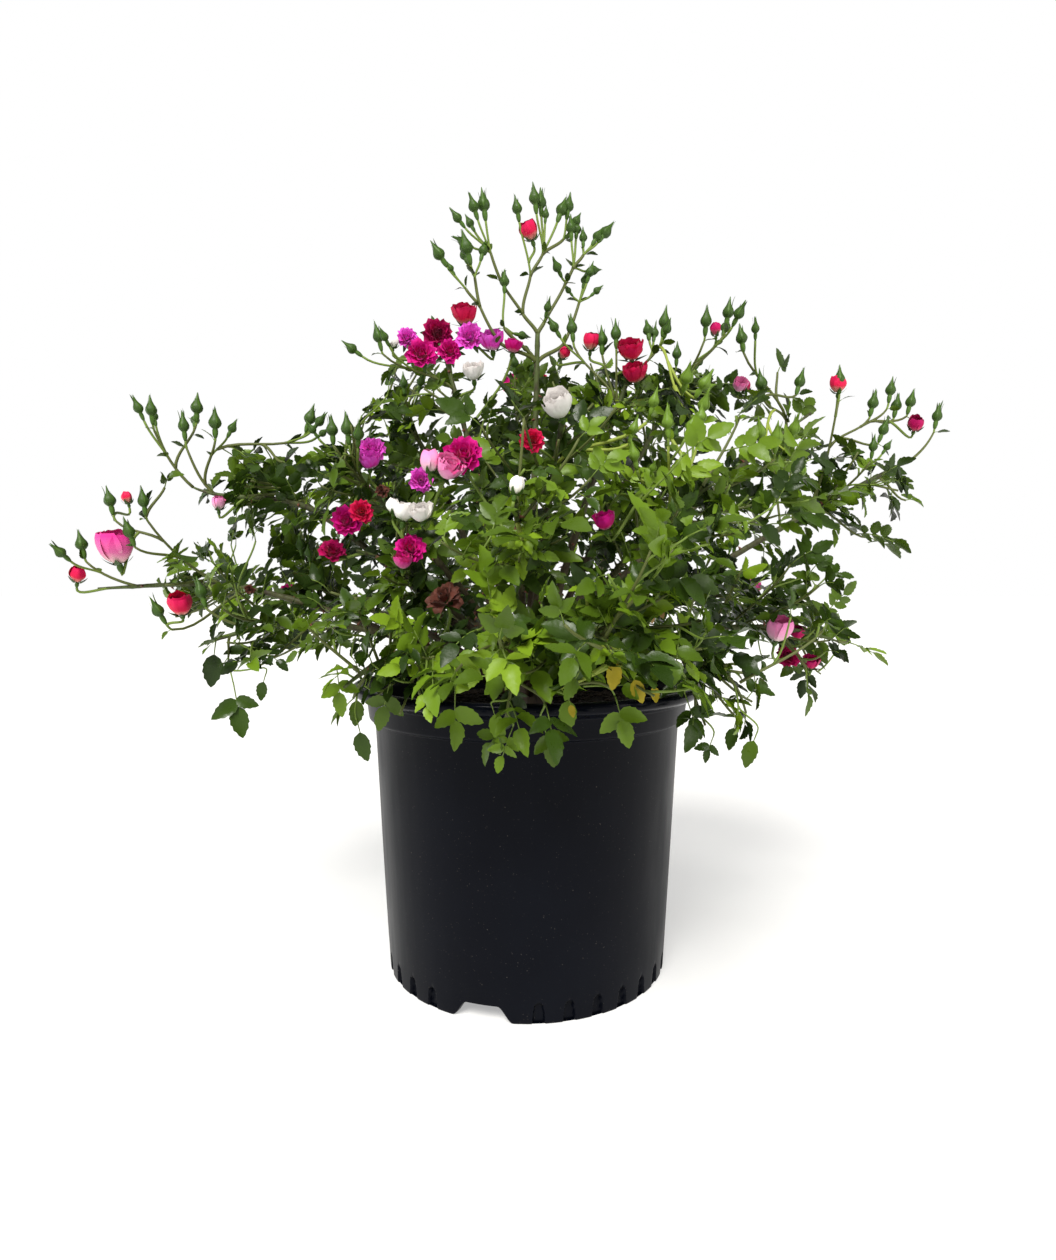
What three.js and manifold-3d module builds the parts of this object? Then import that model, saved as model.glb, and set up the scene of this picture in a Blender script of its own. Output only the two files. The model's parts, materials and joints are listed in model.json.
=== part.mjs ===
// A flowering rose bush in a round blow-moulded nursery pot.
// Millimetres, +Z up. The origin is the centre of the pot's footprint on the ground it stands on.
// Canes leave one short stem on the potting mix. Each cane is a bare bough as far as the edge of its own
// mass of foliage, and then the stem that the mass's twigs, leaves, buds and blooms branch from.
import * as THREE from 'three';
import { mergeVertices } from 'three/addons/utils/BufferGeometryUtils.js';
import Module from 'manifold-3d';

const wasm = await Module();
wasm.setup();

const GAP = 0.3; // clearance between pieces that touch
const UP = new THREE.Vector3(0, 0, 1);

// Pot
const POT_HEIGHT = 228;
const LIP_RADIUS = 140.5;
const LIP_DEPTH = 9; // height of the rolled lip
const BAND_RADIUS = 129;
const BAND_TOP = 216;
const BAND_BOTTOM = 201;
const BODY_TOP_RADIUS = 122.5;
const FOOT_RADIUS = 112;
const WALL = 2.4;
const FLOOR_LIFT = 12; // the floor stands clear of the ground inside the foot ring
const FOOT_RING = 6; // thickness of the wall at the foot
const POT_SIDES = 36;
const NOTCH_COUNT = 3;
const NOTCH_BEARING = -106.5; // the middle of the notch at the front
const NOTCH_HEIGHT = 11.5;
const NOTCH_FOOT_WIDTH = 46;
const NOTCH_TOP_WIDTH = 23;
const ARCHES_PER_SPAN = 8; // drain recesses between two notches
const ARCH_SPACING = 11.2; // degrees
const ARCH_WIDTH = 9;
const ARCH_HEIGHT = 15;
const ARCH_TAPER = 0.6; // width of a recess at its top, as a share
const ARCH_DEPTH = 3.2;

// Potting mix and the short stem that stands on it
const MIX_TOP = 205;
const STEM_SIDES = 8;
const STEM_FLARE_RADIUS = 27;
const STEM_RADIUS = 18;
const STEM_HEIGHT = 42;
const STEM_CLEARANCE = 1.2 * GAP; // between the stem and the canes cut to it
const TIER_HEIGHTS = [9, 20, 31]; // where the canes leave the stem, above the mix
const CANE_ROOT_OFFSET = 10; // the canes start this far from the stem's axis, inside it
const TIER_TURNS = [-12, 8, -4]; // the bearing of the first cane of each tier

// Canes
const CANE_SIDES = 5;
const CANE_ROOT_RADIUS = 3.6;
const CANE_TIP_RADIUS = 1.8;
const BOUGH_STEPS = 4;
const SHORTEST_BOUGH = 0.3; // share of a cane that is always bare
const LONGEST_BOUGH = 0.9;
const BOUGH_STEP = 0.02; // the search step along a cane
const CLEARANCE_STEPS = 12; // straight pieces that a cane is measured as

// Masses of foliage
const CELL_SEED = 0.72; // share along a cane where its own space is centred, unless its row says
const CELL_MARGIN = 1.5; // from the wall between two spaces
const LIMB_MARGIN = 1; // from a limb that is not its own
const TWIG_SIDES = 3;
const MASS_STEM_SIDES = 4;
const MASS_STEM_STEPS = 4;
const TWIG_SEED = 8231; // of the numbers that shape the laterals
const LEAF_SEED = 606; // and the leaves and buds
const SEED_STEP = 97; // from one mass to the next
const GOLDEN_TURN = 137.5;
const GOLDEN_SHARE = 0.618034;
const TIP_SINK = 2; // how deep the last piece of a twig sits in it
const LATERALS = 3; // in each mass
const LATERAL_TRIES = 12; // places tried until a mass has them
const LATERAL_SPAN = 0.9; // share of a mass's stem that they leave from
const LATERAL_RADII = [1.3, 1];
const LATERAL_LENGTH = 84;
const LATERAL_LEAN = { along: 0.5, out: 0.85, up: 0.4 };
const LATERAL_TRIMS = [1, 0.75, 0.5]; // shares of the full length tried in turn
const LATERAL_LEAVES = [0.3, 0.52, 0.78]; // shares along a lateral where side leaves sit
const STEM_LEAVES = [0.3, 0.62, 0.92]; // and along the stem of a mass
const LEAF_LENGTH = 50; // each leaf stands for a whole leaf of five leaflets
const LEAF_WIDTH = 31;
const LEAF_THICKNESS = 1.6;
const LEAF_DROOP = 5; // how far a leaf's tip hangs below the plane of the rest
const LEAF_LEAN = { along: 0.5, out: 0.87 };
const LEAF_FACING = 0.9; // how far the blades turn from facing up to facing out
const LEAF_ROLL = 0.5; // and how far they roll at random
const LEAF_SINK = 0.6; // how far past its twig's axis a leaf's root lies
const LEAF_TURNS = [0, 55, -55, 110, 180]; // turns round its twig that are tried for each leaf
const LEAF_ROOM = 15; // least distance between the middles of two leaves
const STALK_LENGTH = 24;
const STALK_RADIUS = 1;
const BUD_LENGTH = 18;
const BUD_RADIUS = 4.6;
const BUD_SPREAD = 0.7; // how far the outer buds of a truss lean out
const BLOOM_SIDES = 5;
const BLOOM_NUDGES = [0, 6, 12, 18, 24, 32, 40]; // steps back into its space
const REACH = new THREE.Vector3(372, 272, 634); // nothing on the plant lies outside this
const SMALLEST_EDGE = 0.02; // shorter ones are taken out of the joined masses

// One row for each cane: the bearing of its tip from +X, how far out and how high the tip is, how far the
// cane stands above a straight line and the tier it leaves from. Some rows give the share along the cane
// where its space is centred.
const CANES = {
  top: { bearing: 54, reach: 19, height: 608, crest: 4, tier: 2, centre: 0.88 },
  upper_left: { bearing: 172, reach: 70, height: 500, crest: 24, tier: 2, centre: 0.92 },
  high_left: { bearing: 150, reach: 150, height: 492, crest: 24, tier: 2 },
  left_high: { bearing: 185, reach: 262, height: 420, crest: 24, tier: 1 },
  left_far: { bearing: 180, reach: 350, height: 316, crest: 34, tier: 0 },
  left_low: { bearing: 195, reach: 246, height: 262, crest: 44, tier: 0 },
  left_mid: { bearing: 199, reach: 160, height: 404, crest: 20, tier: 2 },
  front_left: { bearing: 214, reach: 146, height: 330, crest: 22, tier: 1 },
  front: { bearing: 268, reach: 182, height: 352, crest: 26, tier: 1 },
  front_centre: { bearing: 285, reach: 105, height: 430, crest: 22, tier: 2 },
  front_low: { bearing: 282, reach: 226, height: 268, crest: 42, tier: 0 },
  front_low_left: { bearing: 232, reach: 188, height: 240, crest: 42, tier: 0 },
  front_low_right: { bearing: 318, reach: 205, height: 232, crest: 44, tier: 0 },
  front_right: { bearing: 308, reach: 190, height: 368, crest: 22, tier: 1 },
  right_low: { bearing: 358, reach: 252, height: 260, crest: 40, tier: 0 },
  right_far: { bearing: 8, reach: 336, height: 414, crest: 12, tier: 1 },
  right_high: { bearing: 4, reach: 236, height: 448, crest: 18, tier: 2 },
  up_right: { bearing: 22, reach: 158, height: 500, crest: 16, tier: 2 },
  up_mid: { bearing: 342, reach: 88, height: 478, crest: 14, tier: 2 },
  back_high: { bearing: 95, reach: 118, height: 500, crest: 20, tier: 2 },
  back_left: { bearing: 136, reach: 232, height: 400, crest: 26, tier: 1 },
  back_right: { bearing: 50, reach: 236, height: 410, crest: 26, tier: 1 },
  back_low_left: { bearing: 118, reach: 240, height: 276, crest: 42, tier: 0 },
  back_low_right: { bearing: 66, reach: 246, height: 282, crest: 42, tier: 0 },
  back_side_left: { bearing: 158, reach: 262, height: 286, crest: 40, tier: 0 },
  back_side_right: { bearing: 30, reach: 270, height: 292, crest: 40, tier: 0 },
};

// Blooms and coloured buds: radius and place. Each grows on the mass whose space it lies in.
const BLOOMS = [
  [11, 2, 12, 588],
  [16, -92, 2, 508],
  [16, -66, 8, 513],
  [13, -56, 20, 530],
  [14, -24, 4, 508],
  [15, -318, -30, 334],
  [11, -254, -62, 290],
  [15, -112, -56, 402],
  [14, -122, -88, 352],
  [14, -77, -110, 332],
  [17, -37, -132, 382],
  [15, -42, -130, 316],
  [12, 4, -70, 410],
  [13, 18, -58, 424],
  [14, 196, -28, 264],
  [12, 212, -8, 246],
  [10, 338, 46, 444],
  [10, 258, 24, 468],
  [13, 84, -10, 498],
  [15, -14, 132, 500],
  [14, -160, 178, 398],
  [12, 148, 172, 410],
  [13, -96, 222, 288],
  [12, 100, 218, 290],
  [13, -232, 112, 300],
  [13, 222, 142, 304],
];

const COLOURS = {
  pot: { color: 0x17181b, roughness: 0.45 },
  mix: { color: 0x2b211a, roughness: 0.95 },
  bark: { color: 0x5a4a30, roughness: 0.8 },
  foliage: { color: 0x3c5f1f, roughness: 0.5 },
};

// A seeded generator of numbers from 0 to 1
function seeded(seed) {
  let state = seed >>> 0;
  return () => {
    state = (Math.imul(state, 1664525) + 1013904223) >>> 0;
    return state / 4294967296;
  };
}

// A closed geometry as a solid that can be joined and cut
function solidOf(geometry) {
  const plain = geometry.index ? geometry.toNonIndexed() : geometry.clone();
  plain.deleteAttribute('normal');
  plain.deleteAttribute('uv');
  const merged = mergeVertices(plain, 1e-4);
  return new wasm.Manifold(new wasm.Mesh({
    numProp: 3,
    vertProperties: merged.attributes.position.array,
    triVerts: new Uint32Array(merged.index.array),
  }));
}

// A solid as a geometry again
function geometryOf(solid) {
  const mesh = solid.getMesh();
  const position = new Float32Array(mesh.numVert * 3);
  for (let i = 0; i < mesh.numVert; i++) {
    position.set(mesh.vertProperties.subarray(i * mesh.numProp, i * mesh.numProp + 3), i * 3);
  }
  const geometry = new THREE.BufferGeometry();
  geometry.setAttribute('position', new THREE.BufferAttribute(position, 3));
  geometry.setIndex(new THREE.BufferAttribute(new Uint32Array(mesh.triVerts), 1));
  geometry.computeVertexNormals();
  return geometry;
}

// A geometry from lists of points and faces
function facetedGeometry(points, faces) {
  const geometry = new THREE.BufferGeometry();
  const position = points.flatMap((p) => [p.x, p.y, p.z]);
  geometry.setAttribute('position', new THREE.Float32BufferAttribute(position, 3));
  geometry.setIndex(faces.flat());
  return geometry;
}

function radians(degrees) {
  return THREE.MathUtils.degToRad(degrees);
}

function onBearing(degrees, radius, height) {
  return new THREE.Vector3(radius * Math.cos(radians(degrees)), radius * Math.sin(radians(degrees)), height);
}

// A body of revolution about Z, from a profile of [radius, height] pairs that starts and ends on the axis
// and runs round the section with the solid on its left
function turned(profile, sides) {
  const points = profile.map(([radius, height]) => new THREE.Vector2(radius, height));
  return new THREE.LatheGeometry(points, sides).rotateX(Math.PI / 2);
}

// A limb along a list of points: a ring of corners at each point, of the radius given for it, or one corner
// where the last radius is 0. The rings face along the directions given, or from point to point.
function limbGeometry(points, radii, sides, directions) {
  const corners = [];
  let across = new THREE.Vector3(0.31, 0.17, 0.94);
  points.forEach((point, i) => {
    const before = points[Math.max(i - 1, 0)];
    const after = points[Math.min(i + 1, points.length - 1)];
    const along = directions ? directions[i] : after.clone().sub(before).normalize();
    across = across.clone().addScaledVector(along, -across.dot(along));
    across.normalize();
    const third = along.clone().cross(across);
    for (let k = 0; k < (radii[i] > 0 ? sides : 1); k++) {
      const turn = (k / sides) * 2 * Math.PI;
      corners.push(point.clone()
        .addScaledVector(across, radii[i] * Math.cos(turn))
        .addScaledVector(third, radii[i] * Math.sin(turn)));
    }
  });
  const faces = [];
  for (let i = 0; i + 1 < points.length; i++) {
    for (let k = 0; k < sides; k++) {
      const here = i * sides;
      const there = here + sides;
      const next = (k + 1) % sides;
      if (radii[i + 1] > 0) {
        faces.push([here + k, here + next, there + next]);
        faces.push([here + k, there + next, there + k]);
      } else {
        faces.push([here + k, here + next, there]);
      }
    }
  }
  const last = (points.length - 1) * sides;
  for (let k = 1; k + 1 < sides; k++) {
    faces.push([0, k + 1, k]);
    if (radii[points.length - 1] > 0) faces.push([last, last + k, last + k + 1]);
  }
  return facetedGeometry(corners, faces);
}

// The corners of a leaf: root and tip, the two edges where it is widest, and its keel underneath. The blade
// bends down where it is widest.
function leafCorners(root, way, upward, length, width) {
  const across = way.clone().cross(upward).normalize();
  const normal = across.clone().cross(way).normalize();
  const along = (share) => root.clone().addScaledVector(way, length * share);
  const edge = (side) => along(0.45).addScaledVector(across, side * width / 2);
  const tip = along(1).addScaledVector(normal, -LEAF_DROOP);
  const keel = along(0.38).addScaledVector(normal, -LEAF_THICKNESS);
  return [root, tip, edge(1), edge(-1), keel];
}

const LEAF_FACES = [[0, 2, 3], [2, 1, 3], [2, 0, 4], [1, 2, 4], [3, 1, 4], [0, 3, 4]];

function potProfile() {
  const floorRadius = FOOT_RADIUS - FOOT_RING;
  const bodyInner = BODY_TOP_RADIUS - WALL;
  return [
    [0, FLOOR_LIFT],
    [floorRadius - 1, FLOOR_LIFT],
    [floorRadius, 0],
    [FOOT_RADIUS, 0],
    [BODY_TOP_RADIUS, BAND_BOTTOM - 1.5],
    [BAND_RADIUS - 2, BAND_BOTTOM],
    [BAND_RADIUS, BAND_TOP],
    [LIP_RADIUS - 2, POT_HEIGHT - LIP_DEPTH],
    [LIP_RADIUS, POT_HEIGHT - LIP_DEPTH + 2],
    [LIP_RADIUS, POT_HEIGHT - 2.5],
    [LIP_RADIUS - 2.5, POT_HEIGHT],
    [LIP_RADIUS - 7, POT_HEIGHT],
    [BAND_RADIUS - WALL, BAND_TOP + 1],
    [BAND_RADIUS - WALL - 2, BAND_BOTTOM + 1.5],
    [bodyInner, BAND_BOTTOM - 1.5],
    [FOOT_RADIUS - WALL + 0.8, FLOOR_LIFT + 8],
    [floorRadius, FLOOR_LIFT + WALL],
    [0, FLOOR_LIFT + WALL],
  ];
}

// A cutter that runs outwards through the wall at a bearing: an outline in the plane of the wall, extruded
function wallCutter(outline, bearing, innerRadius, depth) {
  const shape = new THREE.Shape(outline.map(([x, y]) => new THREE.Vector2(x, y)));
  const geometry = new THREE.ExtrudeGeometry(shape, { depth, bevelEnabled: false, steps: 1 });
  geometry.rotateX(Math.PI / 2).rotateZ(Math.PI / 2); // the outline faces +X, upright
  geometry.translate(innerRadius, 0, 0);
  return solidOf(geometry.rotateZ(radians(bearing)));
}

function notchOutline() {
  const foot = NOTCH_FOOT_WIDTH / 2;
  const top = NOTCH_TOP_WIDTH / 2;
  return [[-foot, -1], [foot, -1], [top, NOTCH_HEIGHT], [-top, NOTCH_HEIGHT]];
}

function archOutline() {
  const half = ARCH_WIDTH / 2;
  return [[-half, -1], [half, -1], [half * ARCH_TAPER, ARCH_HEIGHT], [-half * ARCH_TAPER, ARCH_HEIGHT]];
}

function potSolid() {
  const cutters = [];
  const span = 360 / NOTCH_COUNT;
  for (let n = 0; n < NOTCH_COUNT; n++) {
    const bearing = NOTCH_BEARING + n * span;
    cutters.push(wallCutter(notchOutline(), bearing, FOOT_RADIUS - 20, 40));
    for (let k = 0; k < ARCHES_PER_SPAN; k++) {
      const fromMiddle = (k - (ARCHES_PER_SPAN - 1) / 2) * ARCH_SPACING;
      cutters.push(wallCutter(archOutline(), bearing + span / 2 + fromMiddle, FOOT_RADIUS - ARCH_DEPTH, 10));
    }
  }
  return solidOf(turned(potProfile(), POT_SIDES)).subtract(wasm.Manifold.union(cutters));
}

// The mix fills the pot to a flat top, clear of the wall and the floor by the gap
function mixGeometry() {
  const inner = BODY_TOP_RADIUS - WALL;
  return turned([
    [0, FLOOR_LIFT + WALL + GAP],
    [FOOT_RADIUS - FOOT_RING - 2 * GAP, FLOOR_LIFT + WALL + GAP],
    [FOOT_RADIUS - WALL + 0.8 - 2 * GAP, FLOOR_LIFT + 8 + GAP],
    [inner - 1.5 * GAP, BAND_BOTTOM - 1.5],
    [BAND_RADIUS - WALL - 2 - 3 * GAP, BAND_BOTTOM + 1.5 + GAP],
    [BAND_RADIUS - WALL - 2 - 2 * GAP, MIX_TOP],
    [0, MIX_TOP],
  ], POT_SIDES / 2);
}

// The short stem, grown outwards by a margin where it is used to trim the canes
function stemGeometry(margin) {
  const foot = MIX_TOP + GAP;
  return turned([
    [0, foot - margin],
    [STEM_FLARE_RADIUS + margin, foot - margin],
    [STEM_RADIUS + 2 + margin, foot + 8],
    [STEM_RADIUS - 1 + margin, foot + 22],
    [STEM_RADIUS + margin, foot + 33],
    [STEM_RADIUS * 0.6 + margin, foot + STEM_HEIGHT + margin],
    [0, foot + STEM_HEIGHT + margin],
  ], STEM_SIDES);
}

// The canes of a tier leave the stem evenly spread round it, in the order of their tips
function rootBearing(cane) {
  const turn = (bearing) => (bearing - TIER_TURNS[cane.tier] + 360) % 360;
  const tier = Object.values(CANES).filter((other) => other.tier === cane.tier);
  const rank = tier.filter((other) => turn(other.bearing) < turn(cane.bearing)).length;
  return TIER_TURNS[cane.tier] + (rank * 360) / tier.length;
}

function caneCurve(cane) {
  const root = onBearing(rootBearing(cane), CANE_ROOT_OFFSET, MIX_TOP + TIER_HEIGHTS[cane.tier]);
  const tip = onBearing(cane.bearing, cane.reach, cane.height);
  const lift = UP.clone().multiplyScalar(cane.crest);
  const first = root.clone().lerp(tip, 0.33).add(lift);
  const second = root.clone().lerp(tip, 0.7).add(lift);
  return new THREE.CubicBezierCurve3(root, first, second, tip);
}

function caneRadius(share) {
  return THREE.MathUtils.lerp(CANE_ROOT_RADIUS, CANE_TIP_RADIUS, share);
}

const canes = Object.entries(CANES).map(([name, cane], index) => ({
  ...cane,
  name,
  index,
  curve: caneCurve(cane),
  seed: caneCurve(cane).getPoint(cane.centre ?? CELL_SEED),
}));

// How deep a point lies in a cane's own space: the least distance to the wall that it shares with another
function depthInSpace(cane, point) {
  let depth = Infinity;
  for (const other of canes) {
    if (other !== cane) {
      const apart = other.seed.distanceTo(cane.seed);
      const nearer = point.distanceToSquared(other.seed) - point.distanceToSquared(cane.seed);
      depth = Math.min(depth, nearer / (2 * apart));
    }
  }
  return depth;
}

// The share along a cane where its bough ends: the first past which the cane stays in its own space
function boughShare(cane) {
  const inside = (share) => depthInSpace(cane, cane.curve.getPoint(share)) > CELL_MARGIN + CANE_ROOT_RADIUS;
  let share = 1;
  while (share > SHORTEST_BOUGH && inside(share)) share -= BOUGH_STEP;
  return Math.min(share + BOUGH_STEP, LONGEST_BOUGH);
}

// Points, radii and directions along a stretch of a cane
function caneStretch(cane, from, to, steps) {
  const shares = Array.from({ length: steps + 1 }, (_, i) => from + ((to - from) * i) / steps);
  return {
    points: shares.map((s) => cane.curve.getPoint(s)),
    radii: shares.map(caneRadius),
    directions: shares.map((s) => cane.curve.getTangent(s)),
  };
}

function stretchGeometry({ points, radii, directions }, sides) {
  return limbGeometry(points, radii, sides, directions);
}

for (const cane of canes) {
  cane.boughEnd = boughShare(cane);
  const end = cane.curve.getPoint(cane.boughEnd);
  const ahead = cane.curve.getPoint(cane.boughEnd + BOUGH_STEP);
  cane.massStart = cane.boughEnd + (BOUGH_STEP * GAP) / ahead.distanceTo(end);
}

// The canes as straight pieces, each with its radius and whether it is past the end of its own bough
const limbPieces = canes.flatMap((cane) => {
  const { points, radii } = caneStretch(cane, 0, 1, CLEARANCE_STEPS);
  return points.slice(1).map((point, i) => ({
    cane,
    line: new THREE.Line3(points[i], point),
    radius: radii[i],
    inMass: i / CLEARANCE_STEPS > cane.boughEnd,
  }));
});

// Whether a straight piece of plant, this thick, keeps clear of every limb but the stem of its own mass
function clearOfLimbs(cane, from, to, radius) {
  const line = new THREE.Line3(from, to);
  return limbPieces.every((piece) => {
    if (piece.cane === cane && piece.inMass) return true;
    const room = radius + piece.radius + LIMB_MARGIN;
    return line.distanceSqToLine3(piece.line) > room * room;
  });
}

// Whether a ball of plant is above the pot's rim, outside it, or inside its mouth above the mix
function clearOfPot(point, radius) {
  const out = Math.hypot(point.x, point.y);
  const aboveRim = point.z - radius > POT_HEIGHT + 3;
  const outside = out - radius > LIP_RADIUS + 3;
  const inMouth = out + radius < BAND_RADIUS - 12 && point.z - radius > MIX_TOP + 3;
  return aboveRim || outside || inMouth;
}

function withinReach(point, radius) {
  const inside = (axis) => Math.abs(point[axis]) + radius <= REACH[axis];
  return inside('x') && inside('y') && inside('z');
}

// A mass collects the closed pieces that are fused on its stem, and skips those that leave its space
class Mass {
  constructor(cane) {
    this.cane = cane;
    this.twigRandom = seeded(TWIG_SEED + cane.index * SEED_STEP);
    this.leafRandom = seeded(LEAF_SEED + cane.index * SEED_STEP);
    this.pieces = [];
    this.leaves = [];
  }

  // Whether balls of these radii, round a piece's corners or along its axis, stay in the mass's own space
  fits(points, radii) {
    return points.every((point, i) => depthInSpace(this.cane, point) > radii[i] + CELL_MARGIN
      && clearOfPot(point, radii[i])
      && withinReach(point, radii[i]));
  }

  // Adds a limb along its points, if it fits and its straight core keeps clear of the other limbs
  growLimb(points, radii, sides, core) {
    const [from, to, radius] = core ?? [points[0], points[points.length - 1], Math.max(...radii)];
    if (!this.fits(points, radii) || !clearOfLimbs(this.cane, from, to, radius)) return false;
    this.pieces.push(solidOf(limbGeometry(points, radii, sides)));
    return true;
  }

  // A leaf on a twig, leaning out to one side, or turned further round the twig where that is full
  leaf(root, along, sign) {
    const scale = 0.88 + 0.24 * this.leafRandom();
    const side = along.clone().cross(UP).normalize().multiplyScalar(sign);
    return LEAF_TURNS.some((degrees) => {
      const out = side.clone().applyAxisAngle(along, radians(degrees));
      const way = along.clone().multiplyScalar(LEAF_LEAN.along).addScaledVector(out, LEAF_LEAN.out);
      return this.blade(root, way.normalize(), scale);
    });
  }

  blade(root, way, scale) {
    const length = LEAF_LENGTH * scale;
    const width = LEAF_WIDTH * scale;
    const at = (distance) => root.clone().addScaledVector(way, distance);
    const middle = at(length / 2);
    if (this.leaves.some((other) => other.distanceTo(middle) < LEAF_ROOM)) return false;
    const upward = new THREE.Vector3(root.x, root.y, 0).normalize().multiplyScalar(LEAF_FACING).add(UP);
    upward.addScaledVector(way.clone().cross(UP), LEAF_ROLL * (2 * this.leafRandom() - 1));
    const corners = leafCorners(at(-LEAF_SINK), way, upward, length, width);
    const clear = clearOfLimbs(this.cane, at(width * 0.4), at(length - width * 0.4), width * 0.4);
    if (!clear || !this.fits(corners, corners.map(() => 0))) return false;
    this.pieces.push(solidOf(facetedGeometry(corners, LEAF_FACES)));
    this.leaves.push(middle);
    return true;
  }

  // A pointed bud on its own stalk
  bud(root, way, stalk) {
    const at = (distance) => root.clone().addScaledVector(way, distance);
    const points = [root, at(stalk), at(stalk + BUD_LENGTH * 0.4), at(stalk + BUD_LENGTH)];
    this.growLimb(points, [STALK_RADIUS, STALK_RADIUS, BUD_RADIUS, 0], TWIG_SIDES);
  }

  // A truss of buds: one straight on, the others leaning out round it
  truss(root, along, count) {
    const across = along.clone().cross(UP).normalize();
    const third = along.clone().cross(across);
    for (let k = 0; k < count; k++) {
      const turn = radians(GOLDEN_TURN * k);
      const lean = k === 0 ? 0 : BUD_SPREAD;
      const way = along.clone()
        .addScaledVector(across, lean * Math.cos(turn))
        .addScaledVector(third, lean * Math.sin(turn))
        .normalize();
      this.bud(root, way, STALK_LENGTH * (0.8 + 0.4 * this.leafRandom()));
    }
  }

  // A lateral leans out and up from the stem, with side leaves and a bud or a leaf at its end
  lateral(share, turn, index) {
    const { curve, boughEnd } = this.cane;
    const at = boughEnd + (1 - boughEnd) * share;
    const start = curve.getPoint(at);
    const along = curve.getTangent(at);
    const side = along.clone().cross(UP).normalize();
    const above = side.clone().cross(along);
    const out = side.clone().multiplyScalar(Math.cos(turn)).addScaledVector(above, Math.sin(turn));
    const way = along.clone().multiplyScalar(LATERAL_LEAN.along)
      .addScaledVector(out, LATERAL_LEAN.out)
      .addScaledVector(UP, LATERAL_LEAN.up)
      .normalize();
    const full = LATERAL_LENGTH * (1.15 - 0.5 * share) * (0.85 + 0.3 * this.twigRandom());
    return LATERAL_TRIMS.some((trim) => {
      const end = start.clone().addScaledVector(way, full * trim);
      const grown = this.growLimb([start, end], LATERAL_RADII, TWIG_SIDES);
      if (grown) this.dressLateral(start, end, way, index);
      return grown;
    });
  }

  dressLateral(start, end, way, index) {
    LATERAL_LEAVES.forEach((share, k) => {
      this.leaf(start.clone().lerp(end, share), way, (k + index) % 2 ? 1 : -1);
    });
    const tip = end.clone().addScaledVector(way, -TIP_SINK);
    if (index === 0) this.bud(tip, way, STALK_LENGTH * 0.6);
    else this.blade(tip, way, 1);
  }

  // A bloom near its place: a stalk from the nearest point of the stem that opens into a cup full of petals
  bloom(radius, place) {
    const { curve, boughEnd, seed } = this.cane;
    const inwards = seed.clone().sub(place).normalize();
    return BLOOM_NUDGES.some((nudge) => {
      const centre = place.clone().addScaledVector(inwards, nudge);
      let nearest = curve.getPoint(LATERAL_SPAN);
      for (let share = boughEnd + BOUGH_STEP; share < LATERAL_SPAN; share += BOUGH_STEP) {
        const point = curve.getPoint(share);
        if (point.distanceTo(centre) < nearest.distanceTo(centre)) nearest = point;
      }
      const way = centre.clone().sub(nearest).normalize().add(UP).normalize();
      const at = (distance) => centre.clone().addScaledVector(way, distance * radius);
      const points = [nearest, at(-0.7), at(0.25), at(0.65), at(0.5)];
      const radii = [1.3, 0.3 * radius, radius, 0.6 * radius, 0];
      return this.growLimb(points, radii, BLOOM_SIDES, [points[1], points[3], radius]);
    });
  }

  solid() {
    const { cane } = this;
    const stem = caneStretch(cane, cane.massStart, 1, MASS_STEM_STEPS);
    this.pieces.push(solidOf(stretchGeometry(stem, MASS_STEM_SIDES)));
    const blooms = BLOOMS.map(([radius, ...place]) => [radius, new THREE.Vector3(...place)])
      .filter(([, place]) => depthInSpace(cane, place) > 0);
    for (const [radius, place] of blooms) this.bloom(radius, place);
    const along = cane.curve.getTangent(1);
    this.truss(cane.curve.getPoint(1).addScaledVector(along, -TIP_SINK), along, blooms.length ? 1 : 2);
    for (let k = 0, grown = 0; k < LATERAL_TRIES && grown < LATERALS; k++) {
      const share = ((k * GOLDEN_SHARE + 0.5) % 1) * LATERAL_SPAN;
      if (this.lateral(share, radians(GOLDEN_TURN * k + cane.bearing), grown)) grown++;
    }
    STEM_LEAVES.forEach((share, k) => {
      const at = cane.boughEnd + (1 - cane.boughEnd) * share;
      this.leaf(cane.curve.getPoint(at), cane.curve.getTangent(at), k % 2 ? 1 : -1);
    });
    const parts = wasm.Manifold.union(this.pieces).decompose();
    const largest = parts.reduce((most, part) => (part.volume() > most.volume() ? part : most));
    return largest.simplify(SMALLEST_EDGE);
  }
}

const bush = new THREE.Group();

function addNode(name, geometry, colour, place = new THREE.Vector3()) {
  const mesh = new THREE.Mesh(geometry, new THREE.MeshStandardMaterial(colour));
  mesh.name = name;
  mesh.position.copy(place);
  geometry.translate(-place.x, -place.y, -place.z);
  bush.add(mesh);
}

addNode('pot', geometryOf(potSolid()), COLOURS.pot);
addNode('potting_mix', mixGeometry(), COLOURS.mix);
addNode('short_stem', stemGeometry(0), COLOURS.bark);

const stemTrimmer = solidOf(stemGeometry(STEM_CLEARANCE));
for (const cane of canes) {
  const stretch = caneStretch(cane, 0, cane.boughEnd, BOUGH_STEPS);
  const limb = solidOf(stretchGeometry(stretch, CANE_SIDES)).subtract(stemTrimmer);
  addNode(`bough_${cane.name}`, geometryOf(limb), COLOURS.bark);
  const foliage = geometryOf(new Mass(cane).solid());
  addNode(`mass_${cane.name}`, foliage, COLOURS.foliage, cane.curve.getPoint(cane.massStart));
}

export default bush;
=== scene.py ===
"""A flowering rose bush in a round nursery pot: its finished surfaces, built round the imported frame.

Lengths are millimetres, as in the part, and become metres when a mesh is made. The canes, the spaces that
they fill and the first twigs follow the part's own rule with its own constants. Growth then goes on to finer
twigs, toothed leaflets, pointed buds and double blooms. +Z is up and -Y is the front.
"""

from __future__ import annotations

import json
import logging
import math
from abc import ABC, abstractmethod
from dataclasses import dataclass, field
from enum import Enum
from typing import Iterable, Sequence

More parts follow.
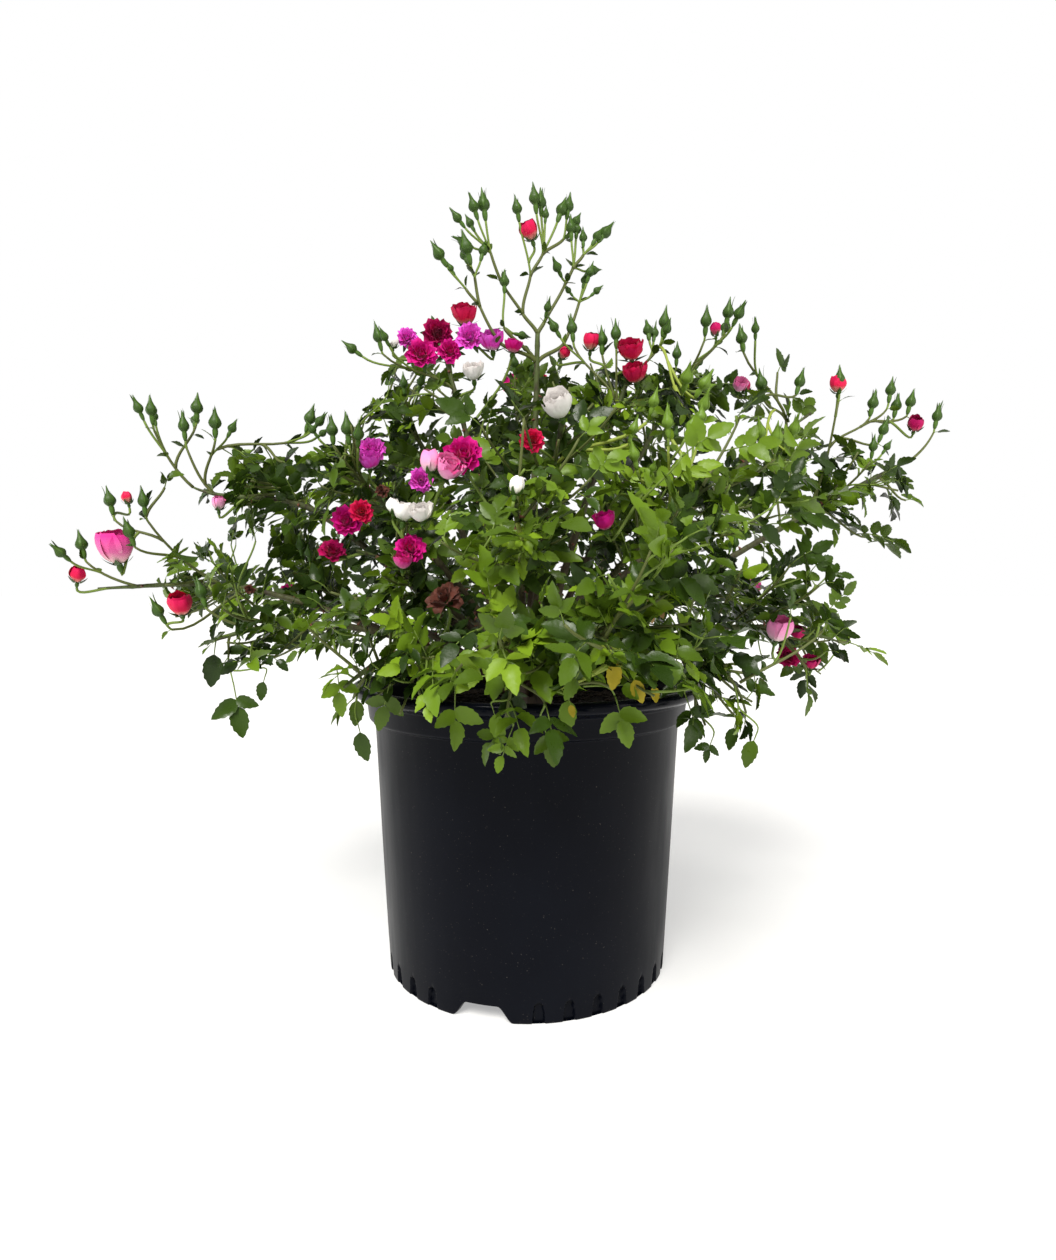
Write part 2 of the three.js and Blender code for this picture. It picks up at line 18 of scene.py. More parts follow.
import bpy
import numpy as np
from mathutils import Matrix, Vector

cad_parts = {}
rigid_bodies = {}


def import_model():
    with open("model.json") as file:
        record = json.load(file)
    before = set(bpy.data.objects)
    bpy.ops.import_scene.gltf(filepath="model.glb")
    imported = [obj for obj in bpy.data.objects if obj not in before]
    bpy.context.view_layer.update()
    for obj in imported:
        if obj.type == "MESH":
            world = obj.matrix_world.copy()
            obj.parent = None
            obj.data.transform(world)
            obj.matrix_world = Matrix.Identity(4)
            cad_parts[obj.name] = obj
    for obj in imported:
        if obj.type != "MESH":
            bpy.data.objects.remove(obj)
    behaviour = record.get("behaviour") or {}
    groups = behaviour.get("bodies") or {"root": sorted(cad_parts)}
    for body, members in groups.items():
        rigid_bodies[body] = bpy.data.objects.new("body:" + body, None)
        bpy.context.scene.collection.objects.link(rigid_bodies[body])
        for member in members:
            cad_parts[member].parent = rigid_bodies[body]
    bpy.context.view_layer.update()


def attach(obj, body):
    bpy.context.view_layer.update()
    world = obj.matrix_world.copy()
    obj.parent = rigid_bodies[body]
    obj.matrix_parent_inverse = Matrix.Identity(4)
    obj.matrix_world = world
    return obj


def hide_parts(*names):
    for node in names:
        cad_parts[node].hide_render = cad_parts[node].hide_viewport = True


Array = np.ndarray
Random = np.random.Generator
Place = tuple[float, float, float]
Colour = tuple[float, float, float]
Pair = tuple[float, float]
Socket = bpy.types.NodeSocket
Inputs = dict[str, object]

LOG = logging.getLogger("rose_bush")

METRES = 0.001
UP = np.array([0.0, 0.0, 1.0])
LEVEL = np.array([1, 1, 0])
GAP = 0.3
WHITE = (1.0, 1.0, 1.0)
TUBE_START = np.array([0.31, 0.17, 0.94])

# The pot
POT_HEIGHT = 228.0
LIP_RADIUS = 140.5
BAND_RADIUS = 129.0
BODY_TOP_RADIUS = 122.5
BODY_TOP = 199.5
FOOT_RADIUS = 112.0
FOOT_WIDTH = 6.0
FLOOR_LIFT = 12.0
WALL = 2.4
NOTCH_COUNT = 3
NOTCH_BEARING = -106.5
NOTCH_HEIGHT = 11.5
NOTCH_FOOT_WIDTH = 46.0
NOTCH_TOP_WIDTH = 23.0
ARCHES_PER_SPAN = 8
ARCH_SPACING = 11.2
ARCH_WIDTH = 9.0
ARCH_HEIGHT = 15.0
ARCH_TAPER = 0.6
ARCH_DEPTH = 3.2

# The potting mix and the short stem
MIX_TOP = 205.0
STEM_FLARE_RADIUS = 27.0
STEM_RADIUS = 18.0
STEM_HEIGHT = 42.0
TIER_HEIGHTS = (9.0, 20.0, 31.0)
CANE_ROOT_OFFSET = 10.0
TIER_TURNS = (-12.0, 8.0, -4.0)

# The canes and their spaces
CANE_ROOT_RADIUS = 3.6
CANE_TIP_RADIUS = 1.8
SHORTEST_BOUGH = 0.3
LONGEST_BOUGH = 0.9
BOUGH_STEP = 0.02
CLEARANCE_STEPS = 12
CELL_SEED = 0.72
CELL_MARGIN = 1.5
LIMB_MARGIN = 1.0
POT_MARGIN = 3.0
MOUTH_MARGIN = 12.0
REACH = np.array([372.0, 272.0, 634.0])

# The rule of the twigs
TWIG_SEED = 8231
LEAF_SEED = 606
SEED_STEP = 97
GOLDEN_TURN = math.radians(137.5)
GOLDEN_SHARE = 0.618034
LATERAL_SPAN = 0.9
LATERAL_RADIUS = 1.3
LATERAL_LENGTH = 84.0
LATERAL_LEAN = (0.5, 0.85, 0.4)
LATERAL_TRIMS = (1.0, 0.75, 0.5)
NO_LEAVES = (1.0, 1.0)


def unit(vectors: Array) -> Array:
    """Scales vectors, along the last axis, to length 1."""
    return vectors / np.maximum(np.linalg.norm(vectors, axis=-1, keepdims=True), 1e-9)


def mix(low: Array | float, high: Array | float, share: Array | float) -> Array | float:
    """Goes straight from low to high as share goes from 0 to 1."""
    return low + (high - low) * share


def eased(share: Array, rise: float) -> Array:
    """Goes from 0 to a rise with both ends eased: rise times (3 share^2 less 2 share^3)."""
    return rise * share**2 * (3 - 2 * share)


def point(x: float, y: float, z: float) -> Array:
    """Makes a point of three numbers."""
    return np.array([x, y, z], dtype=float)


def level_frame(along: Array) -> tuple[Array, Array]:
    """Finds a level direction square to each unit vector (along x UP), and one above it (side x along)."""
    side = unit(np.cross(along, UP) + np.array([1e-4, 0.0, 0.0]))
    return side, unit(np.cross(side, along))


def on_bearing(degrees: float, radius: float, height: float) -> Array:
    """Gives the point at a bearing from +X, a distance from the axis and a height."""
    turn = math.radians(degrees)
    return point(radius * math.cos(turn), radius * math.sin(turn), height)


def cubic(controls: Array, shares: Array | Sequence[float]) -> Array:
    """Walks a cubic curve: the sum of each control point times its Bernstein weight.

    Args:
        controls: Four control points, shape (4, 3).
        shares: Places along the curve from 0 to 1, shape (n,).

    Returns:
        The points, shape (n, 3).
    """
    t = np.asarray(shares, dtype=float)[:, None]
    s = 1 - t
    return s**3 * controls[0] + 3 * s**2 * t * controls[1] + 3 * s * t**2 * controls[2] + t**3 * controls[3]


def cubic_way(controls: Array, shares: Array | Sequence[float]) -> Array:
    """Gives the unit directions of a cubic curve, from its derivative.

    Args:
        controls: Four control points, shape (4, 3).
        shares: Places along the curve from 0 to 1, shape (n,).

    Returns:
        The directions, shape (n, 3).
    """
    t = np.asarray(shares, dtype=float)[:, None]
    s = 1 - t
    steps = np.diff(controls, axis=0)
    return unit(s**2 * steps[0] + 2 * s * t * steps[1] + t**2 * steps[2])


def ripple(points: Array, wavelength: float, seed: int, waves: int = 7) -> Array:
    """Makes smooth uneven relief: the sum of plane waves in random directions, over the root of their count.

    Args:
        points: Places in millimetres, shape (..., 3).
        wavelength: The mean distance between crests.
        seed: The seed of the directions and phases.
        waves: How many waves are summed.

    Returns:
        Values of about -1 to 1, one for each point.
    """
    random = np.random.default_rng(seed)
    ways = unit(random.normal(size=(waves, 3))) * (2 * math.pi / wavelength)
    ways *= random.uniform(0.6, 1.6, size=(waves, 1))
    phases = random.uniform(0, 2 * math.pi, size=waves)
    return np.sin(points @ ways.T + phases).sum(axis=-1) / math.sqrt(waves)


def turned(radius: Array | float, height: Array | float, turns: Array) -> Array:
    """Turns a section round the axis: the radius times cosine and sine of each turn, at the height."""
    return np.stack(np.broadcast_arrays(radius * np.cos(turns), radius * np.sin(turns), height), axis=-1)


def link(name: str, data: bpy.types.ID) -> bpy.types.Object:
    """Adds an object that has the given data to the scene."""
    thing = bpy.data.objects.new(name, data)
    bpy.context.scene.collection.objects.link(thing)
    return thing


class Seeded:
    """The part's own generator of numbers from 0 to 1."""

    def __init__(self, seed: int) -> None:
        """Starts the generator at a seed."""
        self.state = seed

    def __call__(self) -> float:
        """Gives the next number: state times 1664525 plus 1013904223, kept to 32 bits."""
        self.state = (self.state * 1664525 + 1013904223) % 2**32
        return self.state / 2**32


class Surface:
    """Gathers grids of points and turns them into one mesh."""

    def __init__(self) -> None:
        """Starts with nothing gathered."""
        self.points: list[Array] = []
        self.places: list[Array] = []
        self.faces: list[Array] = []
        self.count = 0

    def add(self, grids: Array, closed: bool = False) -> None:
        """Adds a batch of grids of one size.

        A face joins each point to the next in its row, and to the same two in the next row. Where a grid is
        closed, its last column joins its first, and its two end rows get a face each. A point's UV is its
        column and row, from 0 to 1.

        Args:
            grids: Points, shape (batch, rows, columns, 3).
            closed: Whether the columns run all the way round.
        """
        batch, rows, columns = grids.shape[:3]
        if batch == 0:
            return
        index = np.arange(batch * rows * columns).reshape(batch, rows, columns) + self.count
        joined = columns if closed else columns - 1
        here, beside = (grid[:, :, :joined] for grid in (index, np.roll(index, -1, axis=2)))
        quads = np.stack([here[:, :-1], beside[:, :-1], beside[:, 1:], here[:, 1:]], axis=-1)
        self.faces.append(quads.reshape(-1, 4))
        if closed:
            self.faces += [index[:, 0, ::-1], index[:, -1]]
        across, along = np.meshgrid(np.linspace(0, 1, columns), np.linspace(0, 1, rows))
        places = np.broadcast_to(np.stack([across, along], axis=-1), (batch, rows, columns, 2))
        self.points.append(grids.reshape(-1, 3))
        self.places.append(places.reshape(-1, 2))
        self.count += batch * rows * columns

    def mesh(self, name: str) -> bpy.types.Mesh:
        """Makes a smooth-shaded mesh of that name, in metres, with its UV map."""
        corners = np.concatenate([faces.ravel() for faces in self.faces])
        sizes = np.concatenate([np.full(len(faces), faces.shape[1]) for faces in self.faces])
        starts = np.concatenate([[0], np.cumsum(sizes)[:-1]])
        mesh = bpy.data.meshes.new(name)
        mesh.vertices.add(self.count)
        mesh.vertices.foreach_set("co", (np.concatenate(self.points) * METRES).astype(np.float32).ravel())
        mesh.loops.add(len(corners))
        mesh.loops.foreach_set("vertex_index", corners.astype(np.int32))
        mesh.polygons.add(len(sizes))
        mesh.polygons.foreach_set("loop_start", starts.astype(np.int32))
        uv = mesh.uv_layers.new(name="UVMap")
        uv.data.foreach_set("uv", np.concatenate(self.places)[corners].astype(np.float32).ravel())
        mesh.update(calc_edges=True)
        mesh.validate()
        mesh.shade_smooth()
        return mesh


def tubes(paths: Array, radii: Array, sides: int) -> Array:
    """Carries a ring along each path of a batch.

    Each point's ring is the point plus radius times (across cos a + third sin a). Across is carried from ring
    to ring with its part along the path taken out, so the tube doesn't twist.

    Args:
        paths: Points, shape (batch, rows, 3).
        radii: Radii, shape (batch, rows) or (batch, rows, sides).
        sides: Corners in a ring.

    Returns:
        Grids, shape (batch, rows, sides, 3).
    """
    along = unit(np.gradient(paths, axis=1))
    across = np.empty_like(paths)
    last = np.broadcast_to(TUBE_START, paths[:, 0].shape)
    for row in range(paths.shape[1]):
        last = unit(last - along[:, row] * np.sum(last * along[:, row], axis=-1, keepdims=True))
        across[:, row] = last
    third = np.cross(along, across)
    turn = np.arange(sides) * 2 * math.pi / sides
    rings = across[:, :, None] * np.cos(turn)[:, None] + third[:, :, None] * np.sin(turn)[:, None]
    sizes = radii if radii.ndim == 3 else radii[:, :, None]
    return paths[:, :, None] + rings * sizes[..., None]


class Slot(Enum):
    """The record's material slots."""

    POT = "pot_plastic"
    MIX = "potting_mix"
    BARK = "bark"
    FOLIAGE = "foliage"


class Shader:
    """A material being wired round one principled shader."""

    def __init__(self, name: str, colour: Colour, roughness: float, specular: float) -> None:
        """Starts a material with its plain base colour, roughness and specular level."""
        self.material = bpy.data.materials.new(name)
        self.material.use_nodes = True
        self.tree = self.material.node_tree
        self.surface = self.tree.nodes["Principled BSDF"]
        self.coordinates = self.tree.nodes.new("ShaderNodeTexCoord")
        self.set({"Base Color": (*colour, 1.0), "Roughness": roughness, "Specular IOR Level": specular})

    def set(self, inputs: Inputs, node: bpy.types.Node | None = None) -> None:
        """Links inputs to sockets, or gives them plain values.

        Args:
            inputs: The socket or the value for each input, by its name.
            node: The node that has the inputs, or None for the principled shader.
        """
        target = node or self.surface
        for name, value in inputs.items():
            if isinstance(value, bpy.types.NodeSocket):
                self.tree.links.new(value, target.inputs[name])
            else:
                target.inputs[name].default_value = value

    def node(self, kind: str, inputs: Inputs) -> bpy.types.Node:
        """Adds a node of a kind and sets its inputs."""
        node = self.tree.nodes.new(f"ShaderNode{kind}")
        self.set(inputs, node)
        return node

    def noise(self, scale: float, detail: float = 3.0, stretch: Colour = (1.0, 1.0, 1.0)) -> Socket:
        """Adds a noise on Object coordinates.

        Args:
            scale: Cycles to the metre.
            detail: Octaves.
            stretch: A factor on each axis.

        Returns:
            Its value, about 0.2 to 0.8.
        """
        mapping = self.node("Mapping", {"Vector": self.coordinates.outputs["Object"], "Scale": stretch})
        inputs = {"Vector": mapping.outputs["Vector"], "Scale": scale, "Detail": detail}
        return self.node("TexNoise", inputs).outputs["Fac"]

    def axis(self, space: str, name: str) -> Socket:
        """Gives one axis of the UV or Object coordinates. UV's Y runs along each petal, twig and leaf."""
        return self.node("SeparateXYZ", {"Vector": self.coordinates.outputs[space]}).outputs[name]

    def ramp(self, value: Socket, stops: Sequence[tuple[float, Colour]]) -> Socket:
        """Turns a value into a colour.

        Args:
            value: The socket to read.
            stops: Pairs of a value and its colour, in rising order.

        Returns:
            The colour socket.
        """
        node = self.node("ValToRGB", {"Fac": value})
        elements = node.color_ramp.elements
        while len(elements) < len(stops):
            elements.new(0.5)
        for element, (position, colour) in zip(elements, stops):
            element.position = position
            element.color = (*colour, 1.0)
        return node.outputs["Color"]

    def blend(self, factor: Socket, first: Socket, second: Socket | tuple[float, ...]) -> Socket:
        """Mixes a colour with another by a factor.

        Args:
            factor: The share of the second colour.
            first: The first colour.
            second: The second colour, as a socket or as four plain values.

        Returns:
            The colour socket.
        """
        node = self.node("Mix", {})
        node.data_type = "RGBA"
        self.set({"Factor": factor, "A": first, "B": second}, node)
        return node.outputs["Result"]

    def spread(
        self, value: Socket, low: Socket | float, high: float, start: float = 0.3, end: float = 0.7
    ) -> Socket:
        """Maps a value from start..end to low..high, held at both ends."""
        inputs = {"Value": value, "From Min": start, "From Max": end, "To Min": low, "To Max": high}
        return self.node("MapRange", inputs).outputs["Result"]

    def bump(self, height: Socket, depth: float, strength: float) -> None:
        """Adds fine relief to what is there.

        Args:
            height: The value read as height.
            depth: The height of 1, in millimetres.
            strength: How much of it shows.
        """
        inputs = {"Height": height, "Distance": depth * METRES, "Strength": strength}
        before = self.surface.inputs["Normal"]
        if before.is_linked:
            inputs["Normal"] = before.links[0].from_socket
        self.set({"Normal": self.node("Bump", inputs).outputs["Normal"]})


class Finish(ABC):
    """A named finish, which builds its own material."""

    name: str

    @abstractmethod
    def material(self) -> bpy.types.Material:
        """Builds the material."""


@dataclass(frozen=True)
class StemFinish(Finish):
    """The skin of young twigs, stalks and buds in one plain colour, its gloss broken by fine relief."""

    name: str
    colour: Colour
    gloss: float = 0.5
    specular: float = 0.3
    patches: float = 700.0
    smoother: float = 0.1
    rougher: float = 0.15
    creases: float = 1600.0
    crease_depth: float = 0.12

    def material(self) -> bpy.types.Material:
        """Builds the material."""
        shader = Shader(self.name, self.colour, self.gloss, self.specular)
        patches = shader.noise(self.patches)
        gloss = shader.spread(patches, self.gloss - self.smoother, self.gloss + self.rougher)
        shader.set({"Roughness": gloss})
        shader.bump(shader.noise(self.creases, 2.0), self.crease_depth, 0.5)
        return shader.material


@dataclass(frozen=True)
class LeafFinish(StemFinish):
    """A waxy leaf skin in one plain green, with broader creases."""

    specular: float = 0.22
    patches: float = 160.0
    smoother: float = 0.08
    rougher: float = 0.12
    creases: float = 420.0
    crease_depth: float = 0.35


@dataclass(frozen=True)
class PetalFinish(Finish):
    """A petal skin: pale at its foot, full in the middle and darker or lighter at its rim."""

    name: str
    foot: Colour
    middle: Colour
    rim: Colour

    def material(self) -> bpy.types.Material:
        """Builds the material."""
        shader = Shader(self.name, self.middle, 0.55, 0.16)
        colour = shader.ramp(shader.axis("UV", "Y"), [(0.0, self.foot), (0.42, self.middle), (0.9, self.rim)])
        shader.set({"Base Color": colour, "Roughness": shader.spread(shader.noise(500.0), 0.45, 0.65)})
        shader.set({"Sheen Weight": 0.08, "Sheen Roughness": 0.4})
        shader.bump(shader.noise(700.0, 2.0), 0.2, 0.4)
        return shader.material


@dataclass(frozen=True)
class BarkFinish(Finish):
    """Cane bark: brown and rough near the root, olive towards the tip, with fine streaks."""

    name: str = "cane_bark"
    root: Colour = (0.075, 0.045, 0.024)
    middle: Colour = (0.062, 0.058, 0.022)
    tip: Colour = (0.07, 0.1, 0.024)
    streak: Colour = (0.03, 0.014, 0.012)

    def material(self) -> bpy.types.Material:
        """Builds the material."""
        shader = Shader(self.name, self.middle, 0.6, 0.35)
        skin = shader.ramp(shader.axis("UV", "Y"), [(0.0, self.root), (0.4, self.middle), (0.9, self.tip)])
        amount = shader.spread(shader.noise(260.0, 4.0, (1.0, 1.0, 0.4)), 0.0, 0.8, 0.45, 0.7)
        colour = shader.blend(amount, skin, (*self.streak, 1.0))
        shader.set({"Base Color": colour, "Roughness": shader.spread(shader.noise(320.0), 0.45, 0.8)})
        shader.bump(shader.noise(1400.0, 4.0, (1.0, 1.0, 0.3)), 0.25, 0.7)
        return shader.material


@dataclass(frozen=True)
class MixFinish(Finish):
    """Potting mix, or the bark chips in it, in moist dark colours made darker still as painted shade under
    the leaves.
    """

    name: str
    dark: Colour
    light: Colour

    def material(self) -> bpy.types.Material:
        """Builds the material."""
        shader = Shader(self.name, self.dark, 0.9, 0.25)
        grains = shader.ramp(shader.noise(350.0, 5.0), [(0.35, self.dark), (0.7, self.light)])
        shader.set({"Base Color": grains})
        shader.bump(shader.noise(800.0, 5.0), 0.8, 0.9)
        return shader.material


@dataclass(frozen=True)
class PotFinish(Finish):
    """Near-black moulded plastic: satin, glossier on the lip, softly uneven, with specks of dust."""

    name: str = "pot_plastic"
    colour: Colour = (0.0013, 0.0018, 0.0042)
    cloud: Colour = (0.0022, 0.003, 0.006)
    grey_dust: Colour = (0.05, 0.052, 0.055)
    brown_dust: Colour = (0.14, 0.12, 0.1)
    lip: Pair = (0.2172, 0.2196)
    lip_gloss: float = 0.17

    def material(self) -> bpy.types.Material:
        """Builds the material."""
        shader = Shader(self.name, self.colour, 0.34, 0.075)
        plastic = shader.ramp(shader.noise(18.0), [(0.3, self.colour), (0.75, self.cloud)])
        dust = shader.ramp(shader.noise(40.0), [(0.0, self.grey_dust), (1.0, self.brown_dust)])
        specks = shader.spread(shader.noise(950.0, 1.0), 0.0, 0.7, 0.74, 0.8)
        satin = shader.spread(shader.noise(28.0, 4.0, (1.0, 1.0, 0.3)), 0.3, 0.48)
        roughness = shader.spread(shader.axis("Object", "Z"), satin, self.lip_gloss, *self.lip)
        shader.set({"Base Color": shader.blend(specks, plastic, dust), "Roughness": roughness})
        shader.bump(shader.noise(70.0, 2.0, (1.0, 1.0, 0.4)), 0.5, 0.25)
        shader.bump(shader.noise(1100.0, 3.0), 0.06, 0.35)
        return shader.material


class Stand:
    """Puts finished pieces into the scene on the frame's one body."""

    BODY = "root"

    def __init__(self) -> None:
        """Starts with no material built."""
        self.materials: dict[str, bpy.types.Material] = {}

    def place(
        self, name: str, surface: Surface, finish: Finish, slot: Slot, nodes: Iterable[str]
    ) -> bpy.types.Mesh:
        """Adds one piece. Pieces of one finish share its material.

        Args:
            name: The piece's name.
            surface: Its grids, in place.
            finish: Its finish.
            slot: The record's slot; not used.
            nodes: The CAD nodes that it stands for.

        Returns:
            The piece's mesh.
        """
        if finish.name not in self.materials:
            self.materials[finish.name] = finish.material()
        mesh = surface.mesh(name)
        mesh.materials.append(self.materials[finish.name])
        piece = link(name, mesh)
        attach(piece, self.BODY)
        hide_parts(*nodes)
        LOG.info("%s: %d faces", name, len(mesh.polygons))
        return mesh


@dataclass
class NurseryPot:
    """The moulded pot: one closed wall turned round the axis, with its foot notched and scalloped."""

    round_step: float = 3.0
    least_step: float = 0.12
    arch_columns: tuple[float, ...] = (0.0, 1.3, 2.5, 3.4, 4.1, 4.5, 4.9, 5.6)
    notch_columns: int = 12
    notch_ease: float = 1.5
    foot_rows: tuple[float, ...] = (2.5, 4, 6, 8, 10, 11.5, 12.5, 13.3, 14, 14.6, 15.4, 17, 20, 26)
    wall_rows: tuple[float, ...] = (40, 60, 80, 100, 120, 140, 160, 180)
    notch_fade: float = 26.0
    wave: float = 0.22
    wave_start: float = 24.0
    edge: float = 0.7
    sharp: float = 50.0

    def notch_bearings(self) -> Array:
        """Lists the bearings of the notches."""
        return NOTCH_BEARING + np.arange(NOTCH_COUNT) * 360 / NOTCH_COUNT

    def arch_bearings(self) -> Array:
        """Lists the bearings of the drain recesses, in an even row between each two notches."""
        middles = NOTCH_BEARING + (np.arange(NOTCH_COUNT) + 0.5) * 360 / NOTCH_COUNT
        steps = np.arange(ARCHES_PER_SPAN) - (ARCHES_PER_SPAN - 1) / 2
        return (middles[:, None] + steps * ARCH_SPACING).ravel()

    def turns(self) -> Array:
        """Lists the turns of the columns: an even spread, with more at the edges of notches and recesses."""
        arch = np.array(self.arch_columns)
        inner, outer = NOTCH_TOP_WIDTH / 2 - self.notch_ease, NOTCH_FOOT_WIDTH / 2 + self.notch_ease
        notch = np.linspace(inner, outer, self.notch_columns)
        turns = [np.arange(0, 360, self.round_step)]
        for middles, sides in ((self.notch_bearings(), notch), (self.arch_bearings(), arch)):
            beside = np.concatenate([sides, -sides]) * math.degrees(1 / FOOT_RADIUS)
            turns.append((middles[:, None] + beside).ravel())
        ordered = np.sort(np.concatenate(turns) % 360)
        keep = np.concatenate([[True], np.diff(ordered) > self.least_step])
        return np.radians(ordered[keep])

    def rounded(self, corners: Sequence[tuple[float, float, float]], steps: int = 5) -> Array:
        """Rounds the corners of a profile.

        Each corner becomes a quadratic curve between the two points that lie its own radius away from it on
        its sides, or almost half a side where that is shorter.

        Args:
            corners: Radius, height and corner radius of each corner.
            steps: Points on each rounded corner.

        Returns:
            The profile as pairs of radius and height.
        """
        points: list[Array] = []
        for k, (radius, height, size) in enumerate(corners):
            here = np.array([radius, height])
            if size == 0:
                points.append(here)
                continue
            sides = [np.array(corners[k + step][:2]) - here for step in (-1, 1)]
            start, end = (here + side * min(size / np.linalg.norm(side), 0.45) for side in sides)
            for t in np.linspace(0, 1, steps):
                points.append((1 - t) ** 2 * start + 2 * t * (1 - t) * here + t**2 * end)
        return np.array(points)

    def profile(self) -> Array:
        """Gives pairs of radius and height, from under the floor, up outside, and down inside."""
        inner_foot = FOOT_RADIUS - FOOT_WIDTH
        heights = self.foot_rows + self.wall_rows
        outside = [(mix(FOOT_RADIUS, BODY_TOP_RADIUS, z / BODY_TOP), float(z), 0.0) for z in heights]
        return self.rounded([
            (1.0, FLOOR_LIFT, 0.0), (inner_foot - 1.5, FLOOR_LIFT, 1.0),
            (inner_foot, 0.0, 0.9), (FOOT_RADIUS, 0.0, 1.3), *outside,
            (BODY_TOP_RADIUS, BODY_TOP, 1.2), (BAND_RADIUS - 1.8, 201.0, 1.6), (BAND_RADIUS, 215.8, 1.2),
            (LIP_RADIUS - 3.4, 218.8, 1.6), (LIP_RADIUS, 221.2, 2.0), (LIP_RADIUS, POT_HEIGHT - 1.4, 2.2),
            (LIP_RADIUS - 3.2, POT_HEIGHT, 2.2), (LIP_RADIUS - 7.5, POT_HEIGHT, 2.4),
            (BAND_RADIUS - WALL, 217.0, 1.5), (BAND_RADIUS - WALL - 2, 203.0, 1.5),
            (BODY_TOP_RADIUS - WALL, 198.5, 1.5), (FOOT_RADIUS - WALL + 0.8, 20.0, 3.0),
            (inner_foot, FLOOR_LIFT + WALL, 2.0), (1.0, FLOOR_LIFT + WALL, 0.0),
        ])

    def beside(self, turns: Array, bearings: Array) -> Array:
        """Measures the way along the foot from each turn to the nearest of some bearings."""
        away = (turns[:, None] - np.radians(bearings) + math.pi) % (2 * math.pi) - math.pi
        return np.abs(away).min(axis=1) * FOOT_RADIUS

    def lift(self, turns: Array) -> Array:
        """Gives how far the notches raise the foot at each turn: a flat top with eased sides."""
        slope = (NOTCH_FOOT_WIDTH - NOTCH_TOP_WIDTH) / 2
        inside = NOTCH_FOOT_WIDTH / 2 - self.beside(turns, self.notch_bearings())
        return eased(np.clip(inside / slope, 0, 1), NOTCH_HEIGHT)

    def recess(self, turns: Array, heights: Array) -> Array:
        """Gives the depth of the recesses: full inside a round-topped outline, eased over its edge."""
        beside = self.beside(turns, self.arch_bearings())[None, :]
        heights = heights[:, None]
        half = ARCH_WIDTH / 2 * mix(1.0, ARCH_TAPER, np.clip(heights / ARCH_HEIGHT, 0, 1))
        over = np.hypot(beside, np.maximum(heights - ARCH_HEIGHT + half, 0) * 0.9)
        return eased(np.clip((half + self.edge / 2 - over) / self.edge, 0, 1), ARCH_DEPTH)

    def grid(self) -> Array:
        """Turns the profile round the axis, raises the foot at the notches and presses in the recesses."""
        turns = self.turns()
        profile = self.profile()
        radius, height = (np.repeat(column[:, None], len(turns), axis=1) for column in profile.T)
        lift = self.lift(turns)[None, :]
        rows = np.arange(len(profile))
        outer_end = int(np.argmax(profile[:, 1] >= BODY_TOP - 1))
        ring_start = int(np.argmax(profile[:, 0] > FOOT_RADIUS - 1.5 * FOOT_WIDTH))
        foot_top = int(np.argmax(profile[:, 0] > FOOT_RADIUS - FOOT_WIDTH / 2))
        fade = np.where(rows < foot_top, FLOOR_LIFT, self.notch_fade)[:, None]
        raised = lift + height * (fade - lift) / fade
        in_foot = ((rows >= ring_start) & (rows < outer_end))[:, None] & (height < fade)
        height = np.where(in_foot, np.maximum(raised, height), height)
        outside = ((rows > foot_top) & (rows < outer_end))[:, None]
        radius = np.where(outside, radius - self.recess(turns, profile[:, 1]), radius)
        bulge = self.wave * np.sin(2 * turns + 0.7) * np.sin(height / 46.0)
        return turned(radius + np.where(height > self.wave_start, bulge, 0), height, turns)[None]

    def build(self, stand: Stand) -> None:
        """Makes the pot's piece."""
        surface = Surface()
        surface.add(self.grid(), closed=True)
        mesh = stand.place("pot_shell", surface, PotFinish(), Slot.POT, ["pot"])
        mesh.set_sharp_from_angle(angle=math.radians(self.sharp))


